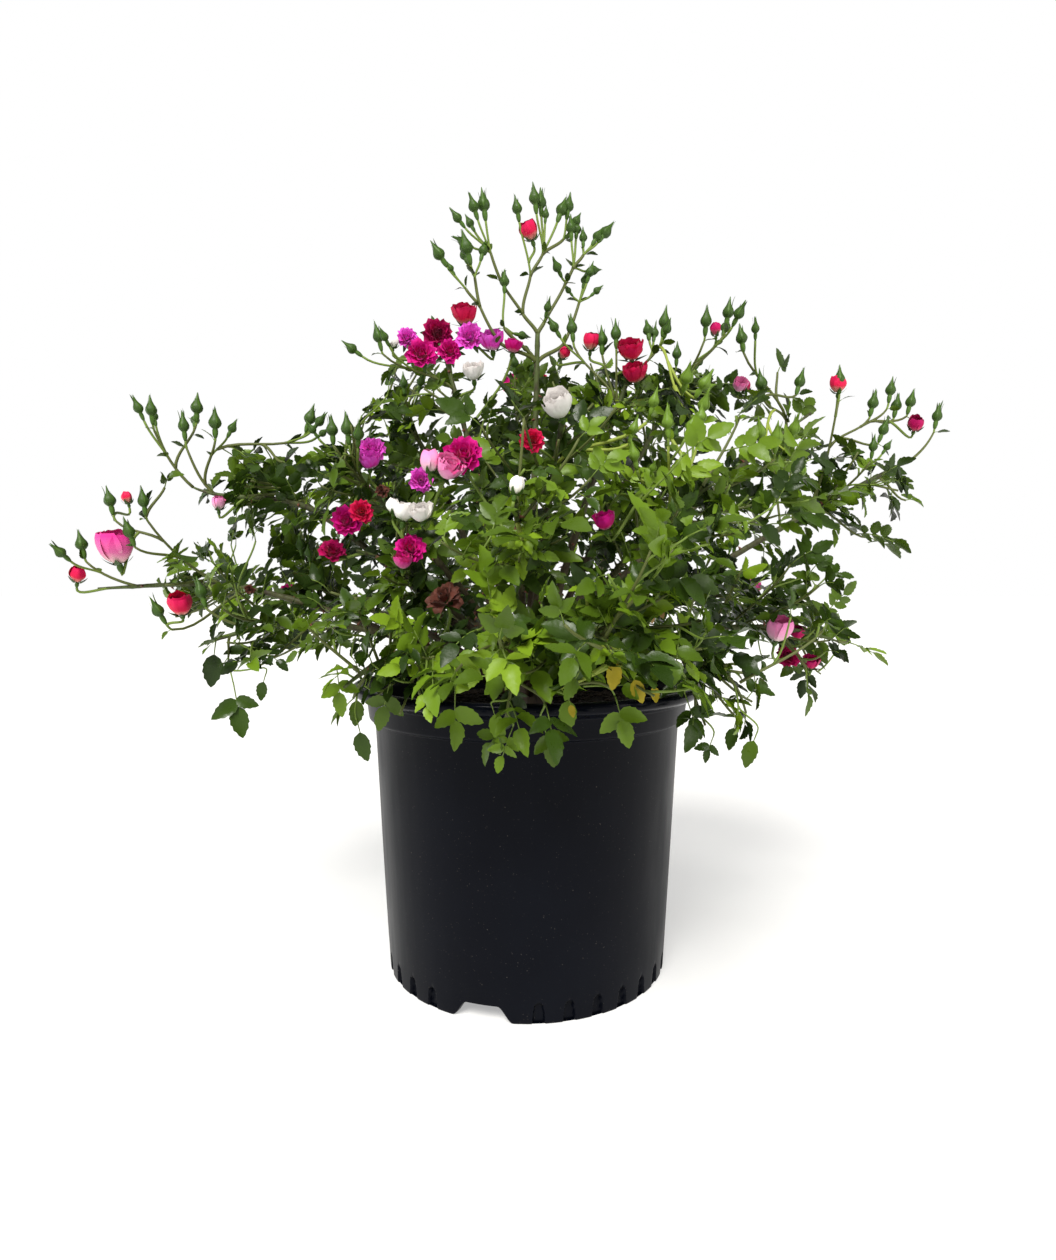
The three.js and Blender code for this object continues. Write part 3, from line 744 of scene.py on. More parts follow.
@dataclass
class PottingMix:
    """The mix that fills the pot, with an uneven top and bark chips lying on it."""

    relief: float = 1.8
    broad: float = 38.0
    fine: float = 9.0
    highest: float = 3.0
    chips: int = 900
    sides: int = 120
    seed: int = 71

    def body(self) -> Array:
        """Turns the outline of the fill, and raises or lowers its top by two sizes of ripple."""
        edge = BAND_RADIUS - WALL - 2 - 2 * GAP
        profile = np.array([
            (1.0, FLOOR_LIFT + WALL + GAP),
            (FOOT_RADIUS - FOOT_WIDTH - 2 * GAP - 0.6, FLOOR_LIFT + WALL + GAP),
            (FOOT_RADIUS - WALL - 0.6, 21.0),
            (BODY_TOP_RADIUS - WALL - 2 * GAP, 197.5),
            (edge - 0.6, 203.5),
            (edge - 1.2, MIX_TOP - 0.4),
            *((r, MIX_TOP) for r in np.linspace(edge - 3, 2, 34)),
        ])
        turns = np.arange(self.sides) * 2 * math.pi / self.sides
        points = turned(profile[:, :1], profile[:, 1:], turns)
        bumps = 0.6 * ripple(points, self.broad, self.seed) + 0.4 * ripple(points, self.fine, self.seed + 1)
        bumps = np.clip(self.relief * bumps, -self.highest, self.highest)
        points[..., 2] += np.where(points[..., 2] >= MIX_TOP - 0.5, bumps, 0)
        return points[None]

    def chip_grids(self) -> Array:
        """Scatters flat, ragged chips: short tubes with uneven rings, pressed to under half their height."""
        random = np.random.default_rng(self.seed)
        count = self.chips
        reach = (BAND_RADIUS - MOUTH_MARGIN) * np.sqrt(random.uniform(0.02, 1, count))
        middle = turned(reach, MIX_TOP + 1.2, random.uniform(0, 2 * math.pi, count))
        middle[:, 2] += random.uniform(-0.6, 1.6, count)
        way = unit(random.normal(size=(count, 3)) * np.array([1, 1, 0.25]))
        length = random.uniform(3, 11, count)[:, None]
        steps = np.array([-0.5, -0.3, 0.3, 0.5])
        paths = middle[:, None] + (way * length)[:, None] * steps[:, None]
        size = random.uniform(0.9, 2.6, (count, 1, 1)) * np.array([0.45, 1, 0.9, 0.4])[:, None]
        grids = tubes(paths, size * random.uniform(0.7, 1.25, (count, 4, 6)), 6)
        grids[..., 2] = mix(middle[:, None, None, 2], grids[..., 2], 0.45)
        return grids

    def build(self, stand: Stand) -> None:
        """Makes the fill and its chips."""
        # The mix and the chips are coloured darker than moist mix and bark are: painted shade under the
        # leaves.
        mix_finish = MixFinish("moist_mix", (0.004, 0.003, 0.002), (0.017, 0.012, 0.008))
        chip_finish = MixFinish("bark_chips", (0.01, 0.007, 0.005), (0.036, 0.024, 0.016))
        for name, grids, finish in (
            ("mix_fill", self.body(), mix_finish),
            ("mix_chips", self.chip_grids(), chip_finish),
        ):
            surface = Surface()
            surface.add(grids, closed=True)
            stand.place(name, surface, finish, Slot.MIX, ["potting_mix"])


@dataclass(frozen=True)
class Cane:
    """One cane: its tip's bearing, reach and height, its crest above a straight line, and its tier.

    The space is worked out from the cane's point at the share centre. The cane forks at the share drawn, and
    sinks by its sag between the end of its bough and its tip.
    """

    name: str
    bearing: float
    reach: float
    height: float
    crest: float
    tier: int
    centre: float = CELL_SEED
    drawn: float = 1.0
    sag: float = 0.0


CANES = (
    Cane("top", 54, 19, 608, 4, 2, 0.88, 0.72),
    Cane("upper_left", 172, 70, 500, 24, 2, 0.92),
    Cane("high_left", 150, 150, 492, 24, 2, drawn=0.88),
    Cane("left_high", 185, 262, 420, 24, 1, sag=38),
    Cane("left_far", 180, 350, 316, 34, 0, sag=13),
    Cane("left_low", 195, 246, 262, 44, 0),
    Cane("left_mid", 199, 160, 404, 20, 2),
    Cane("front_left", 214, 146, 330, 22, 1),
    Cane("front", 268, 182, 352, 26, 1),
    Cane("front_centre", 285, 105, 430, 22, 2),
    Cane("front_low", 282, 226, 268, 42, 0),
    Cane("front_low_left", 232, 188, 240, 42, 0),
    Cane("front_low_right", 318, 205, 232, 44, 0, drawn=0.86),
    Cane("front_right", 308, 190, 368, 22, 1),
    Cane("right_low", 358, 252, 260, 40, 0),
    Cane("right_far", 8, 336, 414, 12, 1),
    Cane("right_high", 4, 236, 448, 18, 2),
    Cane("up_right", 22, 158, 500, 16, 2),
    Cane("up_mid", 342, 88, 478, 14, 2),
    Cane("back_high", 95, 118, 500, 20, 2),
    Cane("back_left", 136, 232, 400, 26, 1),
    Cane("back_right", 50, 236, 410, 26, 1),
    Cane("back_low_left", 118, 240, 276, 42, 0),
    Cane("back_low_right", 66, 246, 282, 42, 0),
    Cane("back_side_left", 158, 262, 286, 40, 0),
    Cane("back_side_right", 30, 270, 292, 40, 0),
)


def nearest_gap(start: Array, end: Array, starts: Array, ends: Array) -> Array:
    """Measures the least distance between one straight piece and each of many.

    A point of a piece is start plus share times way. The two shares that bring the pieces nearest solve a
    pair of linear equations, and are then held between 0 and 1 in turn.

    Args:
        start: One end of the piece.
        end: Its other end.
        starts: The ends of the others, shape (n, 3).
        ends: Their other ends.

    Returns:
        The distances.
    """
    way, ways, apart = end - start, ends - starts, start - starts
    length, lengths = way @ way, np.sum(ways * ways, axis=1)
    here, there, both = apart @ way, np.sum(ways * apart, axis=1), ways @ way
    spread = length * lengths - both**2
    share = np.where(spread > 1e-9, (both * there - here * lengths) / np.maximum(spread, 1e-9), 0)
    share = np.clip(share, 0, 1)
    other = (both * share + there) / lengths
    held = np.clip(other, 0, 1)
    share = np.where(other == held, share, np.clip((both * held - here) / length, 0, 1))
    return np.linalg.norm(apart + share[:, None] * way - held[:, None] * ways, axis=1)


class Framework:
    """The canes, the space that each one fills, and the tests that keep growth in it."""

    def __init__(self, canes: Sequence[Cane]) -> None:
        """Works out the curves, the middles of the spaces, and where each bough ends."""
        self.canes = canes
        self.curves = np.array([self.curve(cane) for cane in canes])
        self.middles = np.array([cubic(c, [cane.centre])[0] for c, cane in zip(self.curves, canes)])
        self.bough_ends = [self.bough_end(index) for index in range(len(canes))]
        shares = np.linspace(0, 1, CLEARANCE_STEPS + 1)
        points = np.array([cubic(curve, shares) for curve in self.curves])
        self.piece_starts = points[:, :-1].reshape(-1, 3)
        self.piece_ends = points[:, 1:].reshape(-1, 3)
        self.piece_radii = np.tile(mix(CANE_ROOT_RADIUS, CANE_TIP_RADIUS, shares[:-1]), len(canes))
        self.piece_owners = np.repeat(np.arange(len(canes)), CLEARANCE_STEPS)
        self.piece_in_mass = np.concatenate([shares[:-1] > end for end in self.bough_ends])

    def nodes(self, kind: str) -> list[str]:
        """Lists the CAD nodes of one kind, bough or mass."""
        return [f"{kind}_{cane.name}" for cane in self.canes]

    def curve(self, cane: Cane) -> Array:
        """Gives the four control points of a cane.

        The canes of a tier are spread evenly round the stem, in the order of their tips.

        Args:
            cane: The cane.

        Returns:
            The points, shape (4, 3).
        """
        first = TIER_TURNS[cane.tier]
        tier = [other for other in self.canes if other.tier == cane.tier]
        rank = sum((other.bearing - first) % 360 < (cane.bearing - first) % 360 for other in tier)
        bearing = first + rank * 360 / len(tier)
        root = on_bearing(bearing, CANE_ROOT_OFFSET, MIX_TOP + TIER_HEIGHTS[cane.tier])
        tip = on_bearing(cane.bearing, cane.reach, cane.height)
        crest = UP * cane.crest
        return np.array([root, mix(root, tip, 0.33) + crest, mix(root, tip, 0.7) + crest, tip])

    def line(self, index: int, shares: Array) -> Array:
        """Gives a cane's points as drawn: its curve, less its sag eased in past the bough."""
        past = np.clip((shares - self.bough_ends[index]) / (1 - self.bough_ends[index]), 0, 1)
        return cubic(self.curves[index], shares) - UP * eased(past, self.canes[index].sag)[:, None]

    def depth(self, index: int, points: Array) -> Array:
        """Measures how deep points lie in a cane's space: the least distance to a wall that it shares.

        Args:
            index: The cane's row.
            points: Places, shape (n, 3).

        Returns:
            Distances, negative outside the space.
        """
        own = self.middles[index]
        others = np.delete(self.middles, index, axis=0)
        apart = np.linalg.norm(others - own, axis=1)
        to_others = np.sum((points[:, None] - others) ** 2, axis=-1)
        to_own = np.sum((points - own) ** 2, axis=-1)[:, None]
        return ((to_others - to_own) / (2 * apart)).min(axis=1)

    def owner(self, place: Array) -> int:
        """Finds the cane in whose space a place lies."""
        return int(np.argmin(np.linalg.norm(self.middles - place, axis=1)))

    def bough_end(self, index: int) -> float:
        """Finds the share along a cane past which it stays in its own space, in steps from its tip."""
        share = 1.0
        while share > SHORTEST_BOUGH:
            at = cubic(self.curves[index], [share])
            if self.depth(index, at)[0] <= CELL_MARGIN + CANE_ROOT_RADIUS:
                break
            share -= BOUGH_STEP
        return min(share + BOUGH_STEP, LONGEST_BOUGH)

    def clear_of_limbs(self, index: int, start: Array, end: Array, radius: float) -> bool:
        """Tells whether a straight twig keeps clear of every cane but the end of its own.

        Args:
            index: The row of its own cane.
            start: One end of the twig.
            end: Its other end.
            radius: Its radius.

        Returns:
            Whether it does.
        """
        gaps = nearest_gap(start, end, self.piece_starts, self.piece_ends)
        own = (self.piece_owners == index) & self.piece_in_mass
        return bool(np.all(own | (gaps > radius + self.piece_radii + LIMB_MARGIN)))

    def free_place(self, points: Array, radius: float, reach: float) -> Array:
        """Tells which points are off the pot and within the plant's own box.

        A point is off the pot above its rim, outside it, or inside its mouth above the mix.

        Args:
            points: Places, shape (n, 3).
            radius: The radius to keep off the pot.
            reach: The radius to keep inside the box.

        Returns:
            Whether each one is.
        """
        out = np.hypot(points[:, 0], points[:, 1])
        low = points[:, 2] - radius
        outside = out - radius > LIP_RADIUS + POT_MARGIN
        in_mouth = (out + radius < BAND_RADIUS - MOUTH_MARGIN) & (low > MIX_TOP + POT_MARGIN)
        off_pot = (low > POT_HEIGHT + POT_MARGIN) | outside | in_mouth
        return off_pot & np.all(np.abs(points) + reach <= REACH, axis=1)

    def fits(self, index: int, points: Array, radius: float, margin: float = CELL_MARGIN) -> bool:
        """Tells whether balls round points stay in a cane's space, off the pot and within reach."""
        room = self.depth(index, points) > radius + margin
        return bool(np.all(room & self.free_place(points, radius, radius)))


class Tone(Enum):
    """The greens and autumn tints of the leaves."""

    DEEP = LeafFinish("leaf_deep", (0.018, 0.038, 0.005), 0.29)
    DARK = LeafFinish("leaf_dark", (0.032, 0.066, 0.006), 0.31)
    MID = LeafFinish("leaf_mid", (0.062, 0.112, 0.007), 0.34)
    FRESH = LeafFinish("leaf_fresh", (0.115, 0.2, 0.01), 0.37)
    LIME = LeafFinish("leaf_lime", (0.165, 0.27, 0.012), 0.4)
    YELLOW = LeafFinish("leaf_yellow", (0.38, 0.3, 0.015), 0.5)
    TAN = LeafFinish("leaf_tan", (0.25, 0.155, 0.06), 0.6)


@dataclass
class LeafBed:
    """Compound leaves gathered as rows, then built as arrays: leaflets by tone, and their stalks."""

    rows: list[tuple[Array, ...]] = field(default_factory=list)

    teeth: int = 5
    tooth_widths: Pair = (1.03, 0.92)
    tooth_shifts: Pair = (0.025, -0.02)
    widest: float = 2.55
    leaflet_length: float = 20.5
    leaflet_width: float = 0.58
    lengths: Pair = (0.86, 1.12)
    folds: Pair = (0.12, 0.6)
    curls: Pair = (-0.02, 0.3)
    twists: Pair = (-0.35, 0.35)
    flutter: float = 0.12
    pair_step: float = 0.27
    pair_stagger: float = 0.03
    pair_shrink: float = 0.16
    stalk_base: float = 7.0
    stalk_per_pair: float = 9.0
    stalk_radii: Pair = (0.62, 0.4)
    droops: Pair = (0.02, 0.4)

    def add(self, *row: Array) -> None:
        """Gathers leaves: roots, stalk ways, blade faces (n, 3), sizes, leaflet pairs and tones (n,)."""
        self.rows.append(row)

    def stalk_length(self, scales: Array | float, pairs: Array | int) -> Array | float:
        """Gives the length of a leaf's stalk up to its end leaflet."""
        return (self.stalk_base + self.stalk_per_pair * pairs) * scales

    def leaflets(self, roots: Array, ways: Array, faces: Array, lengths: Array) -> Array:
        """Shapes leaflets on grids of rows along and three columns across.

        Half the width is proportional to v^0.55 (1 - v)^0.85, with each second row drawn in between teeth.
        The halves rise from the midrib by the fold, and the blade curls down with the square of v.

        Args:
            roots: Where the blades start, shape (n, 3).
            ways: Unit directions along them.
            faces: Directions that they face.
            lengths: Their lengths.

        Returns:
            Grids, shape (n, rows, 3, 3).
        """
        random = np.random.default_rng(LEAF_SEED + 1)
        count, rows = len(roots), 2 * self.teeth + 1
        v = np.linspace(0, 1, rows)
        odd = np.arange(rows) % 2 == 1
        half = self.widest * self.leaflet_width / 2 * np.clip(v, 0.004, 1) ** 0.55
        half = half * np.clip(1 - v, 0.004, 1) ** 0.85 * np.where(odd, *self.tooth_widths)
        forward = np.where(odd, *self.tooth_shifts) * np.sin(math.pi * v)
        side = unit(np.cross(ways, faces))
        normal = np.cross(side, ways)
        spans = (self.folds, self.curls, self.twists, (0, 2 * math.pi))
        fold, curl, twist, phase = (random.uniform(*span, count)[:, None, None] for span in spans)
        sign = np.array([-1.0, 0.0, 1.0])
        beside = half[:, None] * sign
        along = v[:, None] + forward[:, None] * np.abs(sign)
        rise = np.abs(beside) * fold - curl * v[:, None] ** 2
        rise = rise + self.flutter * np.abs(beside) * np.sin(7 * v[:, None] + phase)
        rise = rise + beside * (twist * v[:, None])
        return roots[:, None, None] + lengths[:, None, None, None] * (
            along[..., None] * ways[:, None, None]
            + beside[..., None] * side[:, None, None]
            + rise[..., None] * normal[:, None, None]
        )

    def build(self, stand: Stand, stalks: Surface, nodes: Sequence[str]) -> None:
        """Makes the leaflet pieces, one for each tone, and gathers the stalks.

        A stalk runs straight on and droops with the square of its share. Side leaflets leave it in pairs,
        counted back from its end, and lean forwards.

        Args:
            stand: Where the pieces go.
            stalks: Takes the stalks.
            nodes: The CAD nodes that the leaves stand for.
        """
        roots, ways, faces, scales, pairs, tones = (np.concatenate(column) for column in zip(*self.rows))
        random = np.random.default_rng(LEAF_SEED)
        count = len(roots)
        length = self.stalk_length(scales, pairs)
        droop = random.uniform(*self.droops, count)[:, None]
        side = unit(np.cross(ways, faces))
        normal = unit(np.cross(side, ways) + random.normal(scale=0.22, size=(count, 3)))

        def stalk_point(share: float) -> Array:
            """Gives each stalk's point at a share of its length."""
            return roots + length[:, None] * (ways * share - UP * droop * np.square(share))

        steps = np.linspace(0, 1, 4)
        path = np.stack([stalk_point(step) for step in steps], axis=1)
        radii = np.broadcast_to(mix(*self.stalk_radii, steps), (count, 4)) * np.sqrt(scales)[:, None]
        stalks.add(tubes(path, radii, 3), closed=True)

        whole = np.full(count, 1.0)
        blades = [(path[:, -1], unit(ways - 2 * droop * UP), normal, whole, np.full(count, True))]
        for pair in (1, 2, 3):
            for sign in (-1.0, 1.0):
                share = 1 - self.pair_step * pair + self.pair_stagger * sign
                way = unit(
                    unit(ways - 2 * droop * UP * share) * 0.5
                    + side * sign * 0.85
                    + normal * random.uniform(-0.15, 0.35, (count, 1))
                )
                tilt = unit(normal + random.normal(scale=0.25, size=(count, 3)))
                size = whole * (1.06 - self.pair_shrink * pair)
                blades.append((stalk_point(share), way, tilt, size, pairs >= pair))
        start, way, face, size, kept = (np.concatenate(column) for column in zip(*blades))
        size = size * np.tile(scales, len(blades)) * self.leaflet_length
        size = size * random.uniform(*self.lengths, len(size))
        tone_of = np.tile(tones, len(blades))
        for number, tone in enumerate(Tone):
            chosen = kept & (tone_of == number)
            surface = Surface()
            surface.add(self.leaflets(start[chosen], way[chosen], face[chosen], size[chosen]))
            stand.place(f"{tone.value.name}_1", surface, tone.value, Slot.FOLIAGE, nodes)


@dataclass
class BudBed:
    """Pointed buds: a stalk's end, an urn, a round body and five long sepals, built as arrays."""

    rows: list[tuple[Array, Array, float, bool]] = field(default_factory=list)

    heights: tuple[float, ...] = (0.0, 1.5, 4.0, 6.5, 8.4, 9.8, 11.6, 13.6, 15.8, 18.0, 20.5, 23.5, 27.0)
    widths: tuple[float, ...] = (0.9, 1.7, 2.3, 2.4, 2.1, 3.6, 4.9, 5.1, 4.4, 3.0, 1.8, 0.95, 0.3)
    sides: int = 10
    slimness: Pair = (0.88, 1.05)
    sepals: int = 5
    sepal_foot: float = 8.8
    sepal_length: float = 13.0
    sepal_extra: float = 7.0
    sepal_rows: int = 9
    sector: float = 37.0
    thickness: float = 0.2
    bend_start: float = 18.5
    bent_share: float = 0.25
    bends: Pair = (0.4, 0.02)

    def build(self, surface: Surface, sepals: Surface, young: bool) -> None:
        """Adds the bodies of the older or the young buds to one surface and their sepals to another.

        A body is its widths turned round its direction, and ends in a long point. A sepal lies on the body,
        0.2 mm off it, over a sector that narrows to its tip. One sepal in four bends out at its end.

        Args:
            surface: Takes the urns and bodies.
            sepals: Takes the sepals.
            young: Which buds are built.
        """
        chosen = [row for row in self.rows if row[3] == young]
        bases, ways, sizes, _ = (np.array(column) for column in zip(*chosen))
        count = len(bases)
        random = np.random.default_rng(LEAF_SEED + 2)
        heights, widths = np.array(self.heights), np.array(self.widths)
        paths = bases[:, None] + ways[:, None] * heights[:, None] * sizes[:, None, None]
        slim = random.uniform(*self.slimness, (count, 1))
        surface.add(tubes(paths, widths * sizes[:, None] * slim, self.sides), closed=True)
        across, third = (side[:, None, None] for side in level_frame(ways))
        rows = np.linspace(0, 1, self.sepal_rows)
        for number in range(self.sepals):
            free = random.uniform(0.0, self.sepal_extra, count)[:, None]
            reach = self.sepal_foot + rows * (self.sepal_length + free)
            bent = np.where(random.uniform(size=(count, 1)) < self.bent_share, *self.bends)
            out = np.interp(reach, heights, widths) * slim + self.thickness
            out = out + np.clip(reach - self.bend_start, 0, None) * bent
            half = np.maximum(np.radians(self.sector) * (1 - rows) ** 0.6, 0.5 * (1.05 - rows) / out)
            turn = number * 2 * math.pi / self.sepals + random.uniform(-0.1, 0.1, (count, 1))
            turns = (turn[..., None] + half[..., None] * np.array([-1.0, 0.0, 1.0]))[..., None]
            ring = np.cos(turns) * across + np.sin(turns) * third
            keel = out[..., None] + np.array([0.0, 0.18, 0.0])
            grid = ring * keel[..., None] + reach[..., None, None] * ways[:, None, None]
            sepals.add(bases[:, None, None] + grid * sizes[:, None, None, None])


class Hue(Enum):
    """The petal colours, each from foot to rim."""

    MAGENTA = PetalFinish("petal_magenta", (0.86, 0.4, 0.5), (0.7, 0.003, 0.18), (0.6, 0.005, 0.23))
    PURPLE = PetalFinish("petal_purple", (0.9, 0.62, 0.76), (0.86, 0.05, 0.55), (0.8, 0.1, 0.66))
    CRIMSON = PetalFinish("petal_crimson", (0.66, 0.2, 0.24), (0.54, 0.004, 0.1), (0.42, 0.003, 0.1))
    RED = PetalFinish("petal_red", (0.8, 0.42, 0.32), (0.72, 0.01, 0.065), (0.62, 0.006, 0.08))
    PINK = PetalFinish("petal_pink", (0.86, 0.62, 0.58), (0.8, 0.16, 0.4), (0.76, 0.04, 0.3))
    ROSE = PetalFinish("petal_rose", (0.92, 0.76, 0.72), (0.93, 0.42, 0.64), (0.9, 0.26, 0.56))
    WHITE = PetalFinish("petal_white", (0.94, 0.92, 0.78), (0.98, 0.97, 0.94), (0.98, 0.94, 0.92))
    SPENT = PetalFinish("petal_spent", (0.2, 0.12, 0.07), (0.16, 0.05, 0.035), (0.09, 0.03, 0.02))


class Stage(Enum):
    """How far a bloom has opened: the share of a full opening, its count of petals, and how far it nods."""

    OPENING = (0.12, 12, 0.2)
    GLOBE = (0.26, 22, 0.35)
    CUP = (0.44, 24, 0.5)
    OPEN = (0.76, 32, 1.0)
    SPENT = (0.85, 20, 0.8)

    def __init__(self, opening: float, petals: int, nod: float) -> None:
        """Names the three values."""
        self.opening = opening
        self.petals = petals
        self.nod = nod


@dataclass(frozen=True)
class Bloom:
    """One bloom: its radius, place, hue and stage."""

    radius: float
    x: float
    y: float
    z: float
    hue: Hue
    stage: Stage

    def centre(self) -> Array:
        """Gives its place as a point."""
        return point(self.x, self.y, self.z)

    def seat(self, facing: Array) -> Array:
        """Gives the point that its petals rise from, behind its centre."""
        return self.centre() - facing * self.radius * mix(0.75, 0.45, self.stage.opening)


BLOOMS = tuple(
    Bloom(*row, hue, stage)
    for hue, stage, rows in (
        (Hue.MAGENTA, Stage.OPEN, (
            (14.5, -83, -8, 491), (14.5, -41, -132, 391), (12, -126, -90, 351), (11.5, -78, -114, 331),
            (12, -62, 2, 496), (12, -14, 132, 500), (11, -140, 168, 404), (10, -232, 112, 300),
        )),
        (Hue.MAGENTA, Stage.CUP, ((8, -11, 0, 497), (8, 49, -152, 344))),
        (Hue.PURPLE, Stage.OPEN, (
            (10, -96, 2, 506), (13, -46, -2, 506), (12, -113, -56, 408), (10, -76, -75, 381),
        )),
        (Hue.PURPLE, Stage.CUP, ((11, -28, 2, 501), (9, -115, -60, 396), (9, -150, 172, 388))),
        (Hue.CRIMSON, Stage.OPEN, (
            (15, -71, 8, 510), (11, -137, -86, 331), (11, 211, -10, 249), (11, -96, 222, 288),
            (10, 118, 178, 402),
        )),
        (Hue.CRIMSON, Stage.CUP, ((7.5, 221, -2, 266), (7.5, 231, -6, 242))),
        (Hue.CRIMSON, Stage.OPENING, ((5.5, 162, 44, 523), (4.5, 182, 20, 469))),
        (Hue.CRIMSON, Stage.GLOBE, ((7, 333, 40, 442),)),
        (Hue.RED, Stage.OPEN, (
            (9.5, 4, -120, 401), (9.5, -115, -92, 357), (10, 148, 172, 410), (9, 12, 128, 506),
        )),
        (Hue.RED, Stage.CUP, ((12, -51, 12, 525), (12, 80, -30, 485), (11.5, 82, -36, 466))),
        (Hue.RED, Stage.GLOBE, (
            (9.5, -256, -62, 289), (8.5, 3, 12, 591), (7, 50, -18, 493), (7, 256, 14, 468),
            (7, -364, -4, 312),
        )),
        (Hue.PINK, Stage.GLOBE, ((14.5, -318, -30, 331),)),
        (Hue.RED, Stage.OPENING, ((5, 29, -2, 490), (5, -329, 10, 376))),
        (Hue.PINK, Stage.CUP, ((8, -83, -116, 321), (11, -160, 178, 398), (11, 222, 142, 304))),
        (Hue.ROSE, Stage.GLOBE, ((10.5, 186, -62, 270), (6, -241, -24, 368))),
        (Hue.ROSE, Stage.CUP, ((11, -51, -134, 380), (8, 176, 16, 470))),
        (Hue.ROSE, Stage.OPENING, ((7.5, -62, -134, 382),)),
        (Hue.WHITE, Stage.CUP, (
            (12, 22, -100, 426), (10, -43, -2, 476), (9.5, -82, -116, 353), (9.5, -70, -118, 353),
            (10, 100, 218, 290),
        )),
        (Hue.WHITE, Stage.OPENING, ((5.5, -6, -190, 360), (4.5, -107, 0, 499), (5, -89, -116, 356))),
        (Hue.SPENT, Stage.SPENT, ((15, -55, -132, 299), (7, -106, -66, 376), (5, -218, -24, 303))),
    )
    for row in rows
)


